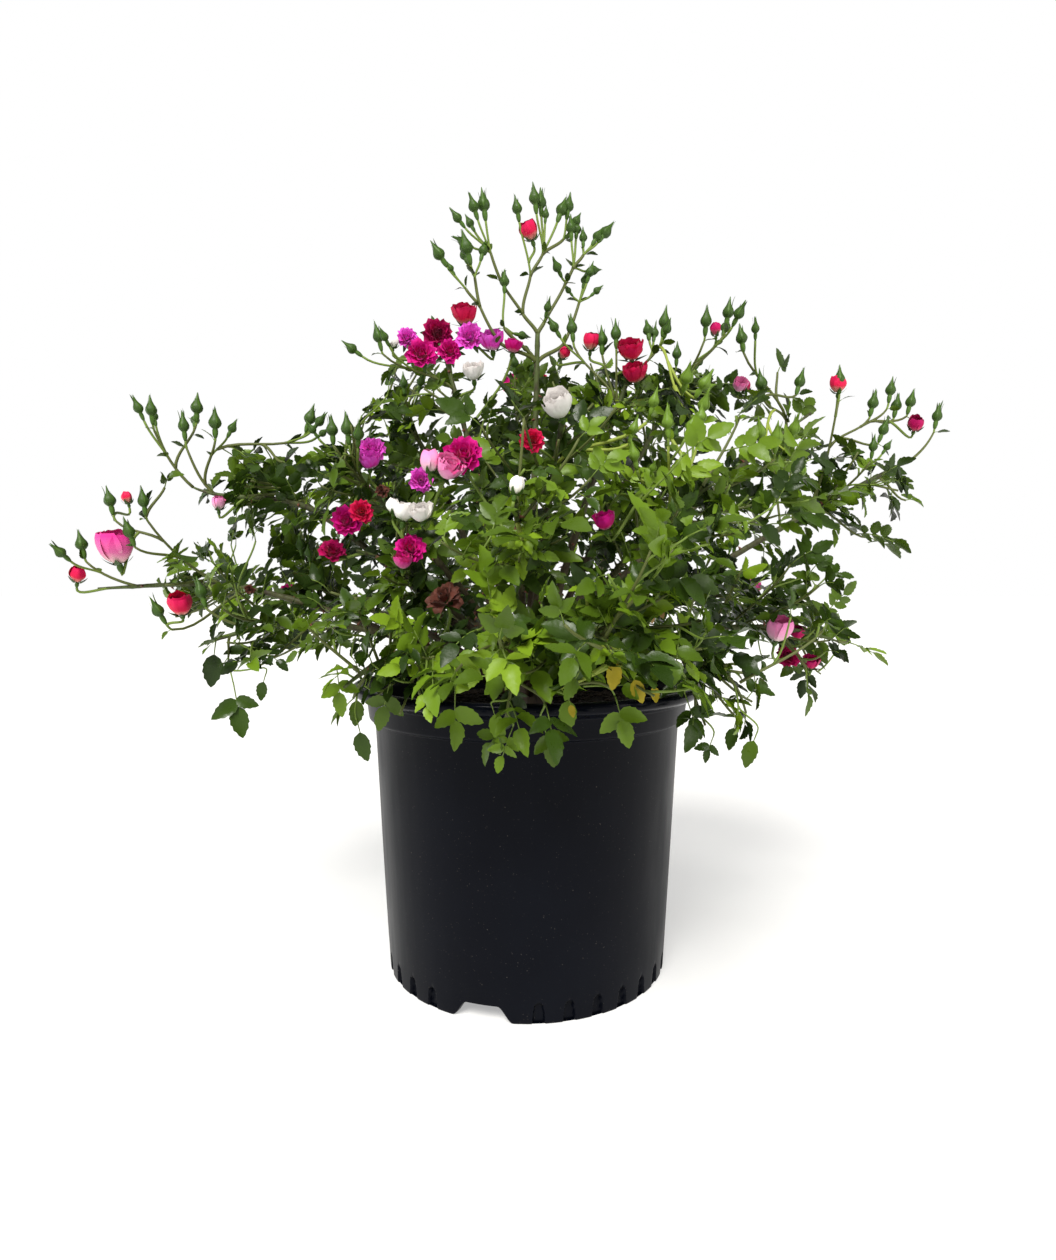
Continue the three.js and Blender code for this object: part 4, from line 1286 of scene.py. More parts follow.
@dataclass
class BloomBed:
    """Double blooms, built petal by petal as arrays, each on its urn with open sepals."""

    rows: int = 7
    columns: int = 7
    lengths: Pair = (0.8, 1.18)
    widths: Pair = (0.72, 1.02)
    leans: Pair = (6.5, 89.0)
    cups: Pair = (34.0, 76.0)
    roll: float = 165.0
    roll_start: float = 0.6
    frill: float = 0.16
    spent_frill: float = 0.3
    dip: float = 0.07
    urn_heights: tuple[float, ...] = (-6.0, -4.6, -2.8, -1.0, 0.4, 1.2)
    urn_widths: tuple[float, ...] = (0.9, 1.8, 2.4, 2.2, 1.9, 0.5)
    urn_sides: int = 8
    sepals: int = 5
    sepal_rows: int = 7
    sepal_step: float = 1.75
    sepal_width: float = 2.8
    sepal_bends: Pair = (-8.0, 165.0)

    def petals(self, bloom: Bloom, facing: Array, random: Random) -> Array:
        """Shapes the petals of one bloom.

        Petal k stands at 137.5 degrees times k round the axis, and its order o goes from 0 for the innermost
        to 1. Its middle line starts near the axis and turns by an angle that grows with o and the opening,
        falls along v, and rolls out past v = 0.6. Its half width is a power of sin over v, and its sides
        bend back with the square of u. The whole is then scaled to the bloom's radius.

        Args:
            bloom: The bloom.
            facing: The direction that it opens in.
            random: The generator of its unevenness.

        Returns:
            Grids, shape (petals, rows, columns, 3).
        """
        opening, count = bloom.stage.opening, bloom.stage.petals
        spent = bloom.stage is Stage.SPENT
        order = np.linspace(0, 1, count)[:, None]
        turn = GOLDEN_TURN * np.arange(count)[:, None, None] + random.uniform(0, 6)
        length = bloom.radius * mix(*self.lengths, order) * random.uniform(0.92, 1.08, (count, 1))
        wide = length * mix(*self.widths, order) * mix(0.8, 1.0, opening)
        lean = np.radians(mix(*self.leans, order**0.75)) * opening**1.3
        lean = lean + random.uniform(-0.17, 0.17, (count, 1)) * mix(0.2, 1.0, opening)
        v = np.linspace(0, 1, self.rows)[None, :]
        past = np.clip(v - self.roll_start, 0, None)
        roll = np.radians(self.roll) * opening**3 * order * past / (1 - self.roll_start)
        cup = np.radians(mix(*self.cups, order)) * (0.5 - v) * mix(1.45, 0.45, opening)
        angle = lean + cup + roll
        if spent:
            angle = angle + random.uniform(-0.9, 1.3, (count, 1)) * v
        step = length / (self.rows - 1)
        out = (np.cumsum(np.sin(angle) * step, axis=1) + bloom.radius * 0.05)[..., None]
        up = np.cumsum(np.cos(angle) * step, axis=1)[..., None]
        half = (wide / 2 * np.sin(math.pi * (0.1 + 0.76 * v)) ** 0.62)[..., None]
        u = np.linspace(-1, 1, self.columns)
        hug = mix(1.0, 0.42, order)[..., None] * half * u**2 * mix(1.25, 1.0, opening)
        phase = random.uniform(0, 6.3, (count, 1, 1))
        frill = self.spent_frill if spent else self.frill
        hug = hug + frill * half * np.sin(5.0 * u + phase) * v[..., None] ** 2
        dip = self.dip * length[..., None] * (1 - np.abs(u)) * v[..., None] ** 6
        sine, cosine = np.sin(angle)[..., None], np.cos(angle)[..., None]
        radial = out - cosine * hug - sine * dip
        axial = up + sine * hug - cosine * dip
        beside = half * u
        x = radial * np.cos(turn) - beside * np.sin(turn)
        y = radial * np.sin(turn) + beside * np.cos(turn)
        across, third = level_frame(facing)
        scale = bloom.radius / np.hypot(x, y).max()
        local = x[..., None] * across + y[..., None] * third + axial[..., None] * facing
        return bloom.seat(facing) + scale * local

    def calyx(self, bloom: Bloom, facing: Array, urns: Surface, sepals: Surface) -> Array:
        """Adds a bloom's urn and open sepals.

        The urn is its widths turned round the bloom's direction. A sepal's middle line turns evenly from 70
        degrees off that direction to its bend, which grows with the opening.

        Args:
            bloom: The bloom.
            facing: The direction that it opens in.
            urns: Takes the urn.
            sepals: Takes the sepals.

        Returns:
            The foot of the urn, where the stalk ends.
        """
        seat = bloom.seat(facing)
        size = min(0.25 + bloom.radius / 16, 1.1)
        path = seat + facing * np.array(self.urn_heights)[:, None] * size
        urns.add(tubes(path[None], np.array(self.urn_widths)[None] * size, self.urn_sides), closed=True)
        across, third = level_frame(facing)
        rows = np.linspace(0, 1, self.sepal_rows)
        angle = mix(np.radians(70.0), np.radians(mix(*self.sepal_bends, bloom.stage.opening)), rows)
        out = 1.2 + np.cumsum(np.sin(angle)) * self.sepal_step
        rise = -0.6 + np.cumsum(np.cos(angle)) * self.sepal_step
        half = self.sepal_width * (1 - rows) ** 0.7 + 0.15
        for number in range(self.sepals):
            turn = number * 2 * math.pi / self.sepals + bloom.radius
            ring = across * math.cos(turn) + third * math.sin(turn)
            beside = -across * math.sin(turn) + third * math.cos(turn)
            line = out[:, None] * ring + rise[:, None] * facing
            grid = line[:, None] + half[:, None, None] * np.array([-1.0, 0.0, 1.0])[:, None] * beside
            sepals.add(seat + grid[None] * size)
        return path[0]


@dataclass
class Limb:
    """A twig: its path, its two radii, the share of it that bears leaves, and its order.

    A free twig's leaves may pass the leafy outline, as those of the shoots that hang over the rim do. A twig
    is drawn up to the share that it is held to, which grows with what it comes to bear.
    """

    path: Array
    radii: Pair
    leafy: Pair
    order: int
    free: bool = False
    young: bool = False
    held: float = 1.0

    def drawn(self) -> Array:
        """Gives the part of its path that bears something."""
        return self.path[: math.ceil(self.held * (len(self.path) - 1)) + 1]

    def length(self) -> float:
        """Measures the twig along its path."""
        return float(np.linalg.norm(np.diff(self.path, axis=0), axis=1).sum())

    def at(self, share: float) -> tuple[Array, Array]:
        """Gives a place on the twig.

        Args:
            share: How far along its path, from 0 to 1.

        Returns:
            The point, and the direction there.
        """
        place = share * (len(self.path) - 1)
        low = min(int(place), len(self.path) - 2)
        step = self.path[low + 1] - self.path[low]
        return self.path[low] + step * (place - low), unit(step)


@dataclass(frozen=True)
class Sprig:
    """A shoot that stands out: where it ends, its count of buds, and whether it is new growth."""

    x: float
    y: float
    z: float
    buds: int
    young: bool = False

    def tip(self) -> Array:
        """Gives its end as a point."""
        return point(self.x, self.y, self.z)


SPRIGS = tuple(
    Sprig(*row)
    for row in (
        # The left
        (-288, -28, 425, 3), (-260, -18, 430, 2), (-262, -30, 410, 1), (-238, -36, 415, 2),
        (-175, -20, 422, 3), (-148, -34, 412, 2), (-292, -34, 355, 1), (-320, -26, 355, 1),
        (-352, -12, 324, 2), (-297, -44, 334, 1), (-267, -52, 272, 1), (-235, -66, 288, 1),
        (-220, -10, 412, 0), (-185, -40, 399, 0), (-280, -30, 381, 0),
        # The right
        (102, -30, 489, 4), (141, -6, 499, 1), (158, 0, 506, 3), (176, 6, 494, 2), (188, -10, 453, 1),
        (219, 6, 460, 1), (256, 12, 456, 1), (289, 30, 446, 1), (308, 40, 456, 1), (319, 52, 449, 1),
        (327, 44, 451, 1), (294, 24, 424, 1), (358, 58, 440, 1), (173, -60, 406, 1), (177, -74, 395, 1),
        (194, -50, 406, 1), (195, -64, 376, 1), (111, -70, 441, 1), (123, -60, 442, 2),
        (208, 20, 482, 0), (331, 50, 380, 0), (295, 40, 347, 0), (116, -110, 403, 2), (90, -140, 393, 2),
        (71, -150, 371, 2), (38, -10, 493, 2), (59, -20, 484, 1), (69, -28, 482, 1), (-113, -14, 487, 3),
        (-127, -70, 400, 2),
        # Low shoots, some hanging over the rim
        (-222, -60, 252, 0), (-115, -125, 206, 0), (-41, -190, 231, 0),
        (-13, -168, 197, 0), (11, -176, 211, 0), (49, -185, 221, 0), (111, -130, 200, 0),
        (150, -110, 194, 0), (273, 20, 263, 0), (215, -40, 217, 0), (62, -215, 266, 0, True),
        (45, -225, 269, 0, True), (140, -120, 228, 0), (-14, -235, 276, 0), (20, -235, 284, 0),
        # Leafy shoots that close the middle
        (-52, -60, 366, 0), (-30, -20, 378, 0), (-70, 20, 372, 0), (-34, 30, 452, 0),
        (-110, -20, 330, 0), (-95, 10, 300, 0), (55, 10, 330, 0), (68, -20, 335, 0), (30, 40, 350, 0),
        (90, 20, 300, 0),
        # Leafy shoots that fill the back
        (120, 110, 440, 0), (165, 95, 400, 0), (80, 120, 446, 0), (150, 130, 360, 0), (110, 60, 400, 0),
        (-90, 130, 430, 0), (-150, 110, 380, 0), (-200, 60, 350, 0), (210, 70, 350, 0), (20, 150, 440, 0),
        # New growth, stout and yellow-green
        (50, -190, 263, 0, True), (62, -192, 268, 0, True), (48, -192, 273, 0, True),
        (133, -122, 249, 0, True), (118, -124, 243, 0, True), (82, -100, 416, 1, True),
        (97, -100, 410, 1, True), (70, -96, 402, 1, True), (-2, -188, 332, 0, True),
        (120, -84, 420, 1, True), (34, -205, 300, 0, True), (-20, -200, 296, 0, True),
    )
)


SET_LEAVES = (
    # Over the rim, left to right: place, size, pairs of side leaflets and tone
    (-116, -112, 224, 0.9, 0, Tone.MID), (-111, -115, 202, 1.0, 0, Tone.DARK),
    (-95, -125, 226, 0.9, 1, Tone.MID), (-119, -146, 240, 0.75, 1, Tone.FRESH),
    (-44, -165, 224, 1.0, 1, Tone.FRESH), (-18, -168, 222, 0.85, 0, Tone.FRESH),
    (-14, -172, 206, 0.62, 2, Tone.FRESH), (14, -172, 212, 0.7, 1, Tone.MID),
    (25, -174, 230, 1.0, 0, Tone.FRESH), (59, -165, 221, 0.95, 1, Tone.FRESH),
    (109, -135, 219, 0.9, 1, Tone.DARK), (136, -128, 208, 0.7, 0, Tone.DARK),
    (149, -126, 197, 0.95, 0, Tone.MID), (118, -138, 199, 0.5, 1, Tone.DARK),
    # The low left spray
    (-211, -72, 216, 1.05, 1, Tone.DARK), (-229, -72, 251, 1.1, 0, Tone.DEEP),
    (-196, -66, 232, 0.8, 0, Tone.DARK),
    # Turned leaves
    (50, -196, 258, 0.75, 0, Tone.YELLOW), (64, -192, 247, 0.65, 0, Tone.YELLOW),
    (78, -168, 241, 0.5, 0, Tone.YELLOW), (27, -182, 233, 0.35, 0, Tone.YELLOW),
    (76, -156, 292, 0.85, 0, Tone.TAN), (90, -120, 288, 0.4, 0, Tone.TAN),
    (-60, 150, 250, 0.7, 0, Tone.YELLOW), (70, 170, 246, 0.7, 0, Tone.TAN),
)


@dataclass(frozen=True)
class Knot:
    """A joint of the bare spire, or a bud: the joint it grows from, its place, its bud's size, its name."""

    parent: str
    x: float
    y: float
    z: float
    bud: float
    name: str = ""


SPIRE = tuple(
    Knot(parent, *row)
    for parent, *rows in (
        ("foot", (-3, 13, 527, 0, "left_fork")),
        ("left_fork", (-21, 9, 552, 0, "left_bend")),
        ("left_bend", (-29, 6, 573, 0, "left_head")),
        ("left_head", (-33, 6, 598, 1.0), (-39, 2, 597, 0.8), (-42, 12, 592, 0.7)),
        ("left_head", (-49, 0, 590, 0.72), (-43, 8, 578, 0.75)),
        ("root", (-21, -2, 499, 0, "low_bend")),
        ("low_bend", (-37, -7, 526, 0, "low_stem")),
        ("low_stem", (-41, -8, 548, 0, "low_head")),
        ("low_head", (-44, -10, 557, 1.0), (-37, -2, 563, 0.8), (-47, -2, 561, 0.7)),
        ("low_stem", (-48, -9, 539, 0, "far_twig")),
        ("far_twig", (-62, -14, 554, 0.85), (-56, -12, 548, 0.5)),
        ("root", (-18, 2, 512, 0, "mid_twig")),
        ("mid_twig", (-18, 4, 540, 0.75), (-11, 8, 510, 0.7), (-6, 10, 502, 0.5)),
        ("left_fork", (3, 14, 558, 0, "mid_fork")),
        ("mid_fork", (-6, 10, 599, 0.8), (13, 18, 577, 0, "upper_fork")),
        ("upper_fork", (8, 16, 608, 0.95), (12, 22, 610, 0.95), (15, 20, 602, 0.6), (25, 24, 605, 0.9)),
        ("upper_fork", (30, 26, 592, 0, "right_fork")),
        ("right_fork", (33, 28, 609, 0.9), (37, 30, 602, 0.7)),
        ("foot", (14, 16, 521, 0, "right_limb")),
        ("right_limb", (32, 22, 555, 0, "right_bend")),
        ("right_bend", (38, 22, 567, 0, "right_head")),
        ("right_limb", (15, 14, 524, 0.65)),
        ("right_bend", (29, 18, 558, 0.7)),
        ("right_head", (37, 24, 590, 0.85), (41, 30, 594, 0.7), (47, 27, 580, 0, "right_twig")),
        ("right_twig", (47, 28, 586, 0.7), (54, 30, 589, 0.75), (59, 32, 592, 0.95)),
        ("right_head", (49, 30, 568, 0.7)),
        ("root", (30, 26, 506, 0, "low_right")),
        ("low_right", (44, 32, 543, 0, "low_right_head")),
        ("low_right_head", (39, 30, 547, 0.5), (47, 34, 555, 0.6), (53, 32, 548, 0.55), (50, 30, 558, 0.7)),
    )
    for row in rows
)


@dataclass(frozen=True)
class Outline:
    """The outline of the leaves from the viewpoint, as heights over x in the upright plane on the axis."""

    viewpoint: Array
    upper: tuple[Pair, ...] = (
        (-335, 290), (-300, 316), (-277, 375), (-236, 411), (-147, 429), (-125, 459), (-110, 490), (59, 492),
        (99, 480), (212, 476), (245, 443), (306, 399), (327, 384), (342, 350),
    )
    lower: tuple[Pair, ...] = (
        (-335, 310), (-296, 294), (-268, 253), (-215, 215), (-186, 249), (-149, 215), (-120, 192), (-63, 188),
        (60, 190), (114, 198), (143, 180), (186, 175), (193, 211), (229, 220), (270, 262), (276, 335),
        (327, 371), (342, 400),
    )

    def holds(self, points: Array, slack: float = 0.0) -> Array:
        """Tells which points fall inside the outline, or at most a slack outside it.

        Args:
            points: Places, shape (n, 3), read where their lines from the viewpoint cross the plane.
            slack: How far outside counts as inside.

        Returns:
            Whether each one does.
        """
        ways = points - self.viewpoint
        shares = -self.viewpoint[1] / ways[:, 1]
        x, z = (self.viewpoint[axis] + ways[:, axis] * shares for axis in (0, 2))
        top, bottom = (np.interp(x, *np.array(line).T) for line in (self.upper, self.lower))
        return (z < top + slack) & (z > bottom - slack)


class Patch(Enum):
    """The shares of the five greens, from deep to lime, in each part of the bush; the deep and dark shares
    inside the bush are painted shade.
    """

    FRONT = (0.07, 0.2, 0.36, 0.3, 0.07)
    # Inside the bush most leaves take the deep and dark greens: painted shade among the canes.
    INSIDE = (0.5, 0.36, 0.12, 0.02, 0.0)
    RIGHT = (0.18, 0.32, 0.34, 0.15, 0.01)
    TOP = (0.1, 0.34, 0.38, 0.17, 0.01)
    REST = (0.22, 0.39, 0.3, 0.09, 0.0)

    @classmethod
    def at(cls, place: Array) -> Patch:
        """Finds the part that a place lies in."""
        x, y, z = place
        if y < -85 and z < 400 and -150 < x < 95:
            return cls.FRONT
        if math.hypot(x, y) < 110 and z < 380:
            return cls.INSIDE
        if x > 60 and z > 300:
            return cls.RIGHT
        return cls.TOP if z > 380 or x < -200 else cls.REST


@dataclass
class Growth:
    """Everything that grows on the canes, mass by mass."""

    frame: Framework
    outline: Outline
    leaves: LeafBed = field(default_factory=LeafBed)
    buds: BudBed = field(default_factory=BudBed)
    bed: BloomBed = field(default_factory=BloomBed)
    limbs: list[list[Limb]] = field(default_factory=list)
    blooms: list[tuple[Bloom, Array]] = field(default_factory=list)
    urns: Surface = field(default_factory=Surface)
    sepals: Surface = field(default_factory=Surface)
    sights: list[tuple[Array, Array, float]] = field(default_factory=list)

    laterals: int = 9
    lateral_tries: int = 30
    lateral_slack: float = 8.0
    twig_shares: tuple[float, ...] = (0.38, 0.66, 0.9)
    twig_lengths: Pair = (22, 46)
    twig_sides: int = 6
    least_held: float = 0.1
    turn_cost: float = 1.3
    too_short: float = 1000.0
    stem_radii: Pair = (2.2, 1.6)
    spire_root: float = 0.35
    spire_radii: Pair = (1.8, 1.45)
    bud_sight: float = 30.0
    bloom_sight: float = 150.0
    leaf_sight: float = 60.0
    young_sight: float = 50.0
    sight_start: float = 8.0
    sight_room: float = 4.0
    leaf_spacing: float = 10.5
    leaf_room: float = 7.2
    leaf_lean: float = 0.87
    end_lean: float = 0.25
    leaf_scales: Pair = (0.54, 1.0)
    least_depth: float = -8.0
    sparse_share: float = 0.64
    back_share: float = 0.9
    end_leaf: float = 24.0
    rim_strip: float = 24.0
    rim_share: float = 0.3
    back_start: float = 70.0

    def grow(self) -> None:
        """Grows the shoots that stand out, then fills each space with laterals, finer twigs and leaves."""
        count = len(self.frame.canes)
        self.limbs = [[self.stem(index)] for index in range(count)]
        self.grow_spire()
        for sprig in SPRIGS:
            self.grow_sprig(sprig)
        for bloom in BLOOMS:
            self.grow_bloom(bloom)
        for leaf in SET_LEAVES:
            self.set_leaf(*leaf)
        for index in range(count):
            self.grow_laterals(index)
        for index, limbs in enumerate(self.limbs):
            random = np.random.default_rng(LEAF_SEED + index * SEED_STEP)
            placed: list[Array] = []
            for limb in limbs:
                self.dress(index, limb, random, placed)

    def stem(self, index: int) -> Limb:
        """Gives the end of a cane, from where its bough stops, as the first limb of its mass."""
        drawn = self.frame.canes[index].drawn
        shares = np.linspace(min(self.frame.bough_ends[index], drawn - 0.1), drawn, 13)
        return Limb(self.frame.line(index, shares), self.stem_radii, (0.0, 0.95), 0)

    def fork(self, index: int, tip: Array, shortest: float) -> tuple[Array, Array]:
        """Finds where a shoot leaves its mass.

        Each point of each limb costs its distance to the tip, times one plus the turn that the shoot would
        take there. The cheapest point at least the shortest length away is taken.

        Args:
            index: The mass.
            tip: Where the shoot ends.
            shortest: The least length of the shoot.

        Returns:
            The point, and the direction of the limb there.
        """
        points = np.concatenate([limb.path for limb in self.limbs[index]])
        ways = np.concatenate([unit(np.gradient(limb.path, axis=0)) for limb in self.limbs[index]])
        step = tip - points
        length = np.linalg.norm(step, axis=1)
        turn = 1 - np.sum(unit(step) * ways, axis=1)
        cost = length * (1 + self.turn_cost * turn) + np.where(length < shortest, self.too_short, 0.0)
        best = int(np.argmin(cost))
        return points[best], ways[best]

    def shoot(self, start: Array, way: Array, end: Array, arrive: Array) -> Array:
        """Draws a path that leaves along one direction and arrives along another.

        Args:
            start: Where it leaves.
            way: The direction of what it leaves.
            end: Where it arrives.
            arrive: The direction that it ends in.

        Returns:
            Its points, shape (9, 3).
        """
        reach = np.linalg.norm(end - start)
        leave = unit(unit(way) + 1.2 * unit(end - start))
        controls = np.array([start, start + leave * reach * 0.33, end - unit(arrive) * reach * 0.33, end])
        return cubic(controls, np.linspace(0, 1, 9))

    def grow_spire(self) -> None:
        """Grows the bare spire joint by joint, on the end of the first cane."""
        limbs = self.limbs[0]
        joints = {"foot": limbs[0].at(1.0), "root": limbs[0].at(self.spire_root)}
        for knot in SPIRE:
            start, along = joints[knot.parent]
            end = point(knot.x, knot.y, knot.z)
            arrive = unit(unit(end - start) + UP * 0.25)
            path = self.shoot(start, along, end, arrive)
            if knot.bud:
                limbs.append(Limb(path, (0.95, 1.0), NO_LEAVES, 3))
                self.add_bud(end, arrive, knot.bud)
            else:
                thick = self.spire_radii[0 if knot.parent in ("foot", "root") else 1]
                limbs.append(Limb(path, (thick, thick * 0.85), NO_LEAVES, 1))
                joints[knot.name] = (end, arrive)
                self.bracts(end, arrive, 2)

    def add_bud(self, base: Array, way: Array, size: float, young: bool = False) -> None:
        """Adds a bud that stays under the highest reach, and keeps leaves off it.

        Args:
            base: Where its stalk ends.
            way: Its direction.
            size: Its size, 1 for a full one.
            young: Whether it is new growth.
        """
        over = max(0.0, base[2] + self.buds.heights[-1] * size - REACH[2])
        self.buds.rows.append((base - UP * over, way, size, young))
        self.see(base + way * 12 * size, 6.0, self.bud_sight)

    def bracts(self, place: Array, along: Array, count: int, low: int = 1) -> None:
        """Adds small single leaflets that point up along a twig.

        Args:
            place: Where they grow.
            along: The direction of the twig.
            count: How many.
            low: The lower of the two tones that they take, by its place in the list.
        """
        random = np.random.default_rng(int(abs(place).sum() * 10))
        across, third = level_frame(along)
        turn = random.uniform(0, 6.3) + math.pi * np.arange(count)[:, None]
        out = across * np.cos(turn) + third * np.sin(turn)
        ways = unit(along + out * random.uniform(0.5, 1.1, (count, 1)))
        sizes = random.uniform(0.32, 0.55, count)
        tones = random.integers(low, low + 2, count)
        self.leaves.add(np.tile(place, (count, 1)), ways, unit(UP - out), sizes, np.zeros(count), tones)

    def grow_sprig(self, sprig: Sprig) -> None:
        """Grows one shoot that stands out, with its truss."""
        tip = sprig.tip()
        index = self.frame.owner(tip)
        leafy_to = 0.5 if sprig.buds else 1.0
        hangs = tip[2] < POT_HEIGHT + 20
        if hangs:
            tip = tip + UP * self.end_leaf
        start, way = self.fork(index, tip, 34.0 if sprig.buds or sprig.young else 14.0)
        arrive = unit(unit(tip - start) + UP * (-0.7 if hangs else 0.5))
        radii = (1.7, 1.2) if sprig.young else (1.25, 0.9)
        path = self.shoot(start, way, tip, arrive)
        limb = Limb(path, radii, (0.05, leafy_to), 1, sprig.buds == 0, sprig.young)
        self.limbs[index].append(limb)
        if sprig.young:
            self.see(limb.at(0.6)[0], 3.0, self.young_sight)
            for share in (0.5, 0.75, 1.0):
                self.bracts(*limb.at(share), 2, 3)
        if sprig.buds:
            limb.young = sprig.young or (sprig.x > 0 and sprig.y < -45)
            self.truss(index, limb, sprig.buds, 0.88 if sprig.y > -85 else 0.74)

    def truss(self, index: int, limb: Limb, count: int, size: float) -> None:
        """Ends a twig in stalked buds that reach much the same height, as in a corymb.

        The first stalk goes straight on. The others leave lower down and end in a ring round the first one.

        Args:
            index: The mass.
            limb: The twig.
            count: How many buds.
            size: The size of the first bud.
        """
        random = np.random.default_rng(LEAF_SEED + index * SEED_STEP + len(self.buds.rows))
        end, along = limb.at(1.0)
        upright = unit(along + UP)
        across, third = level_frame(upright)
        for number in range(count):
            first = number == 0
            turn = GOLDEN_TURN * number + random.uniform(0, 1.5)
            out = across * math.cos(turn) + third * math.sin(turn)
            start, way = (end, along) if first else limb.at(random.uniform(0.5, 0.85))
            scale = size * (1.0 if first else random.uniform(0.65, 0.95))
            top = end + upright * random.uniform(0, 7) + out * (0.0 if first else random.uniform(9, 16))
            arrive = unit(unit(top - start) + UP * 0.6 + out * 0.1)
            self.limbs[index].append(Limb(self.shoot(start, way, top, arrive), (0.85, 0.95), NO_LEAVES, 3))
            self.add_bud(top, arrive, scale, limb.young)
            self.bracts(start, way, 1)

    def front(self, place: Array) -> Array:
        """Gives the way from a place to the viewpoint, or outwards for a place at the back."""
        return unit(self.outline.viewpoint - place if place[1] < self.back_start else place * LEVEL)

    def see(self, place: Array, radius: float, depth: float) -> None:
        """Keeps leaves off a place, and off the line from it to the viewpoint up to a depth."""
        way = self.front(place)
        self.sights.append((place + way * self.sight_start, place + way * depth, radius))

    def grow_bloom(self, bloom: Bloom) -> None:
        """Grows one bloom on its stalk, in the mass whose space it lies in."""
        centre, nod = bloom.centre(), bloom.stage.nod
        index = self.frame.owner(centre)
        random = np.random.default_rng(TWIG_SEED + len(self.blooms))
        facing = unit(UP * (1.1 - 0.75 * nod) + self.front(centre) * nod + random.normal(scale=0.17, size=3))
        start, way = self.fork(index, centre, 20.0)
        foot = self.bed.calyx(bloom, facing, self.urns, self.sepals)
        self.limbs[index].append(Limb(self.shoot(start, way, foot, facing), (1.2, 1.0), (0.1, 0.6), 2))
        self.blooms.append((bloom, facing))
        self.see(centre, bloom.radius + 4, self.bloom_sight)

    def set_leaf(self, x: float, y: float, z: float, size: float, pairs: int, tone: Tone) -> None:
        """Grows one leaf that hangs at a place with its face to the front.

        Args:
            x: Where the middle of the leaf is, from left to right.
            y: From front to back.
            z: Its height.
            size: Its size, 1 for a full leaf.
            pairs: Its side leaflets, in pairs.
            tone: Its colour.
        """
        place = point(x, y, z)
        along = unit(point(0.45 * math.sin(x), -0.1, -1.0))
        root = place - along * (float(self.leaves.stalk_length(size, pairs)) + 14 * size) * 0.6
        index = self.frame.owner(root)
        start, way = self.fork(index, root, 9.0)
        self.limbs[index].append(Limb(self.shoot(start, way, root, along), (0.75, 0.5), NO_LEAVES, 3))
        face = unit(self.front(place) + UP * 0.35)
        row = (root, along, face, size, pairs, list(Tone).index(tone))
        self.leaves.add(*(np.array([part]) for part in row))
        self.see(place, 9.0 * size, self.leaf_sight)

    def grow_laterals(self, index: int) -> None:
        """Grows a mass's laterals by the part's rule, and finer twigs on them.

        Lateral k leaves at the share ((k times 0.618 + 0.5) mod 1) times 0.9 of the stem, turned by k times
        137.5 degrees. The first three are the part's own, and the count then goes on.

        Args:
            index: The mass.
        """
        frame = self.frame
        curve, start_share = frame.curves[index], frame.bough_ends[index]
        twig_random = Seeded(TWIG_SEED + index * SEED_STEP)
        random = np.random.default_rng(TWIG_SEED + index * SEED_STEP)
        ahead, outwards, upwards = LATERAL_LEAN
        grown = 0
        for k in range(self.lateral_tries):
            if grown == self.laterals:
                break
            share = (k * GOLDEN_SHARE + 0.5) % 1 * LATERAL_SPAN
            turn = GOLDEN_TURN * k + math.radians(frame.canes[index].bearing)
            at = start_share + (1 - start_share) * share
            start, along = cubic(curve, [at])[0], cubic_way(curve, [at])[0]
            side = unit(np.cross(along, UP))
            out = side * math.cos(turn) + np.cross(side, along) * math.sin(turn)
            way = unit(along * ahead + out * outwards + UP * upwards)
            full = LATERAL_LENGTH * (1.15 - 0.5 * share) * (0.85 + 0.3 * twig_random())
            for trim in LATERAL_TRIMS:
                end = start + way * full * trim
                if (
                    self.outline.holds(end[None], self.lateral_slack)[0]
                    and frame.fits(index, np.array([start, end]), LATERAL_RADIUS)
                    and frame.clear_of_limbs(index, start, end, LATERAL_RADIUS)
                ):
                    self.lateral(index, start, end, grown, random)
                    grown += 1
                    break

    def lateral(self, index: int, start: Array, end: Array, number: int, random: Random) -> None:
        """Adds one lateral, bowed a little, with its finer twigs and sometimes a truss.

        Args:
            index: The mass.
            start: Where it leaves the stem.
            end: Where it ends.
            number: Its number in the mass.
            random: The mass's generator.
        """
        way = unit(end - start)
        limb = Limb(self.shoot(start, way, end, way + UP * 0.35), (1.15, 0.75), (0.12, 1.0), 1, held=0.0)
        self.limbs[index].append(limb)
        if number == 0 and end[2] > 300 and end[1] > 0:
            limb.held = 1.0
            self.truss(index, limb, 2, 0.75)
        for share in self.twig_shares:
            place, along = limb.at(share)
            side, above = level_frame(along)
            turn = random.uniform(0, 2 * math.pi)
            out = side * math.cos(turn) + above * math.sin(turn)
            tip = place + unit(along * 0.6 + out * 0.75 + UP * 0.25) * random.uniform(*self.twig_lengths)
            if self.frame.fits(index, tip[None], 1.0, 0.0) and self.outline.holds(tip[None])[0]:
                path = self.shoot(place, along, tip, unit(tip - place) + UP * 0.3)
                self.limbs[index].append(Limb(path, (0.85, 0.6), (0.2, 1.0), 2, held=0.0))
                limb.held = max(limb.held, share)

    def tones(self, place: Array, count: int, random: Random) -> Array:
        """Deals tones to a twig's leaves: one for the twig by where it grows, and each leaf near it.

        Args:
            place: The middle of the twig.
            count: How many leaves.
            random: The mass's generator.

        Returns:
            Their places in the list of tones.
        """
        weights = Patch.at(place).value
        middle = int(random.choice(5, p=np.array(weights) / sum(weights)))
        return np.clip(middle + random.choice([-1, 0, 0, 1], count), 0, 4)

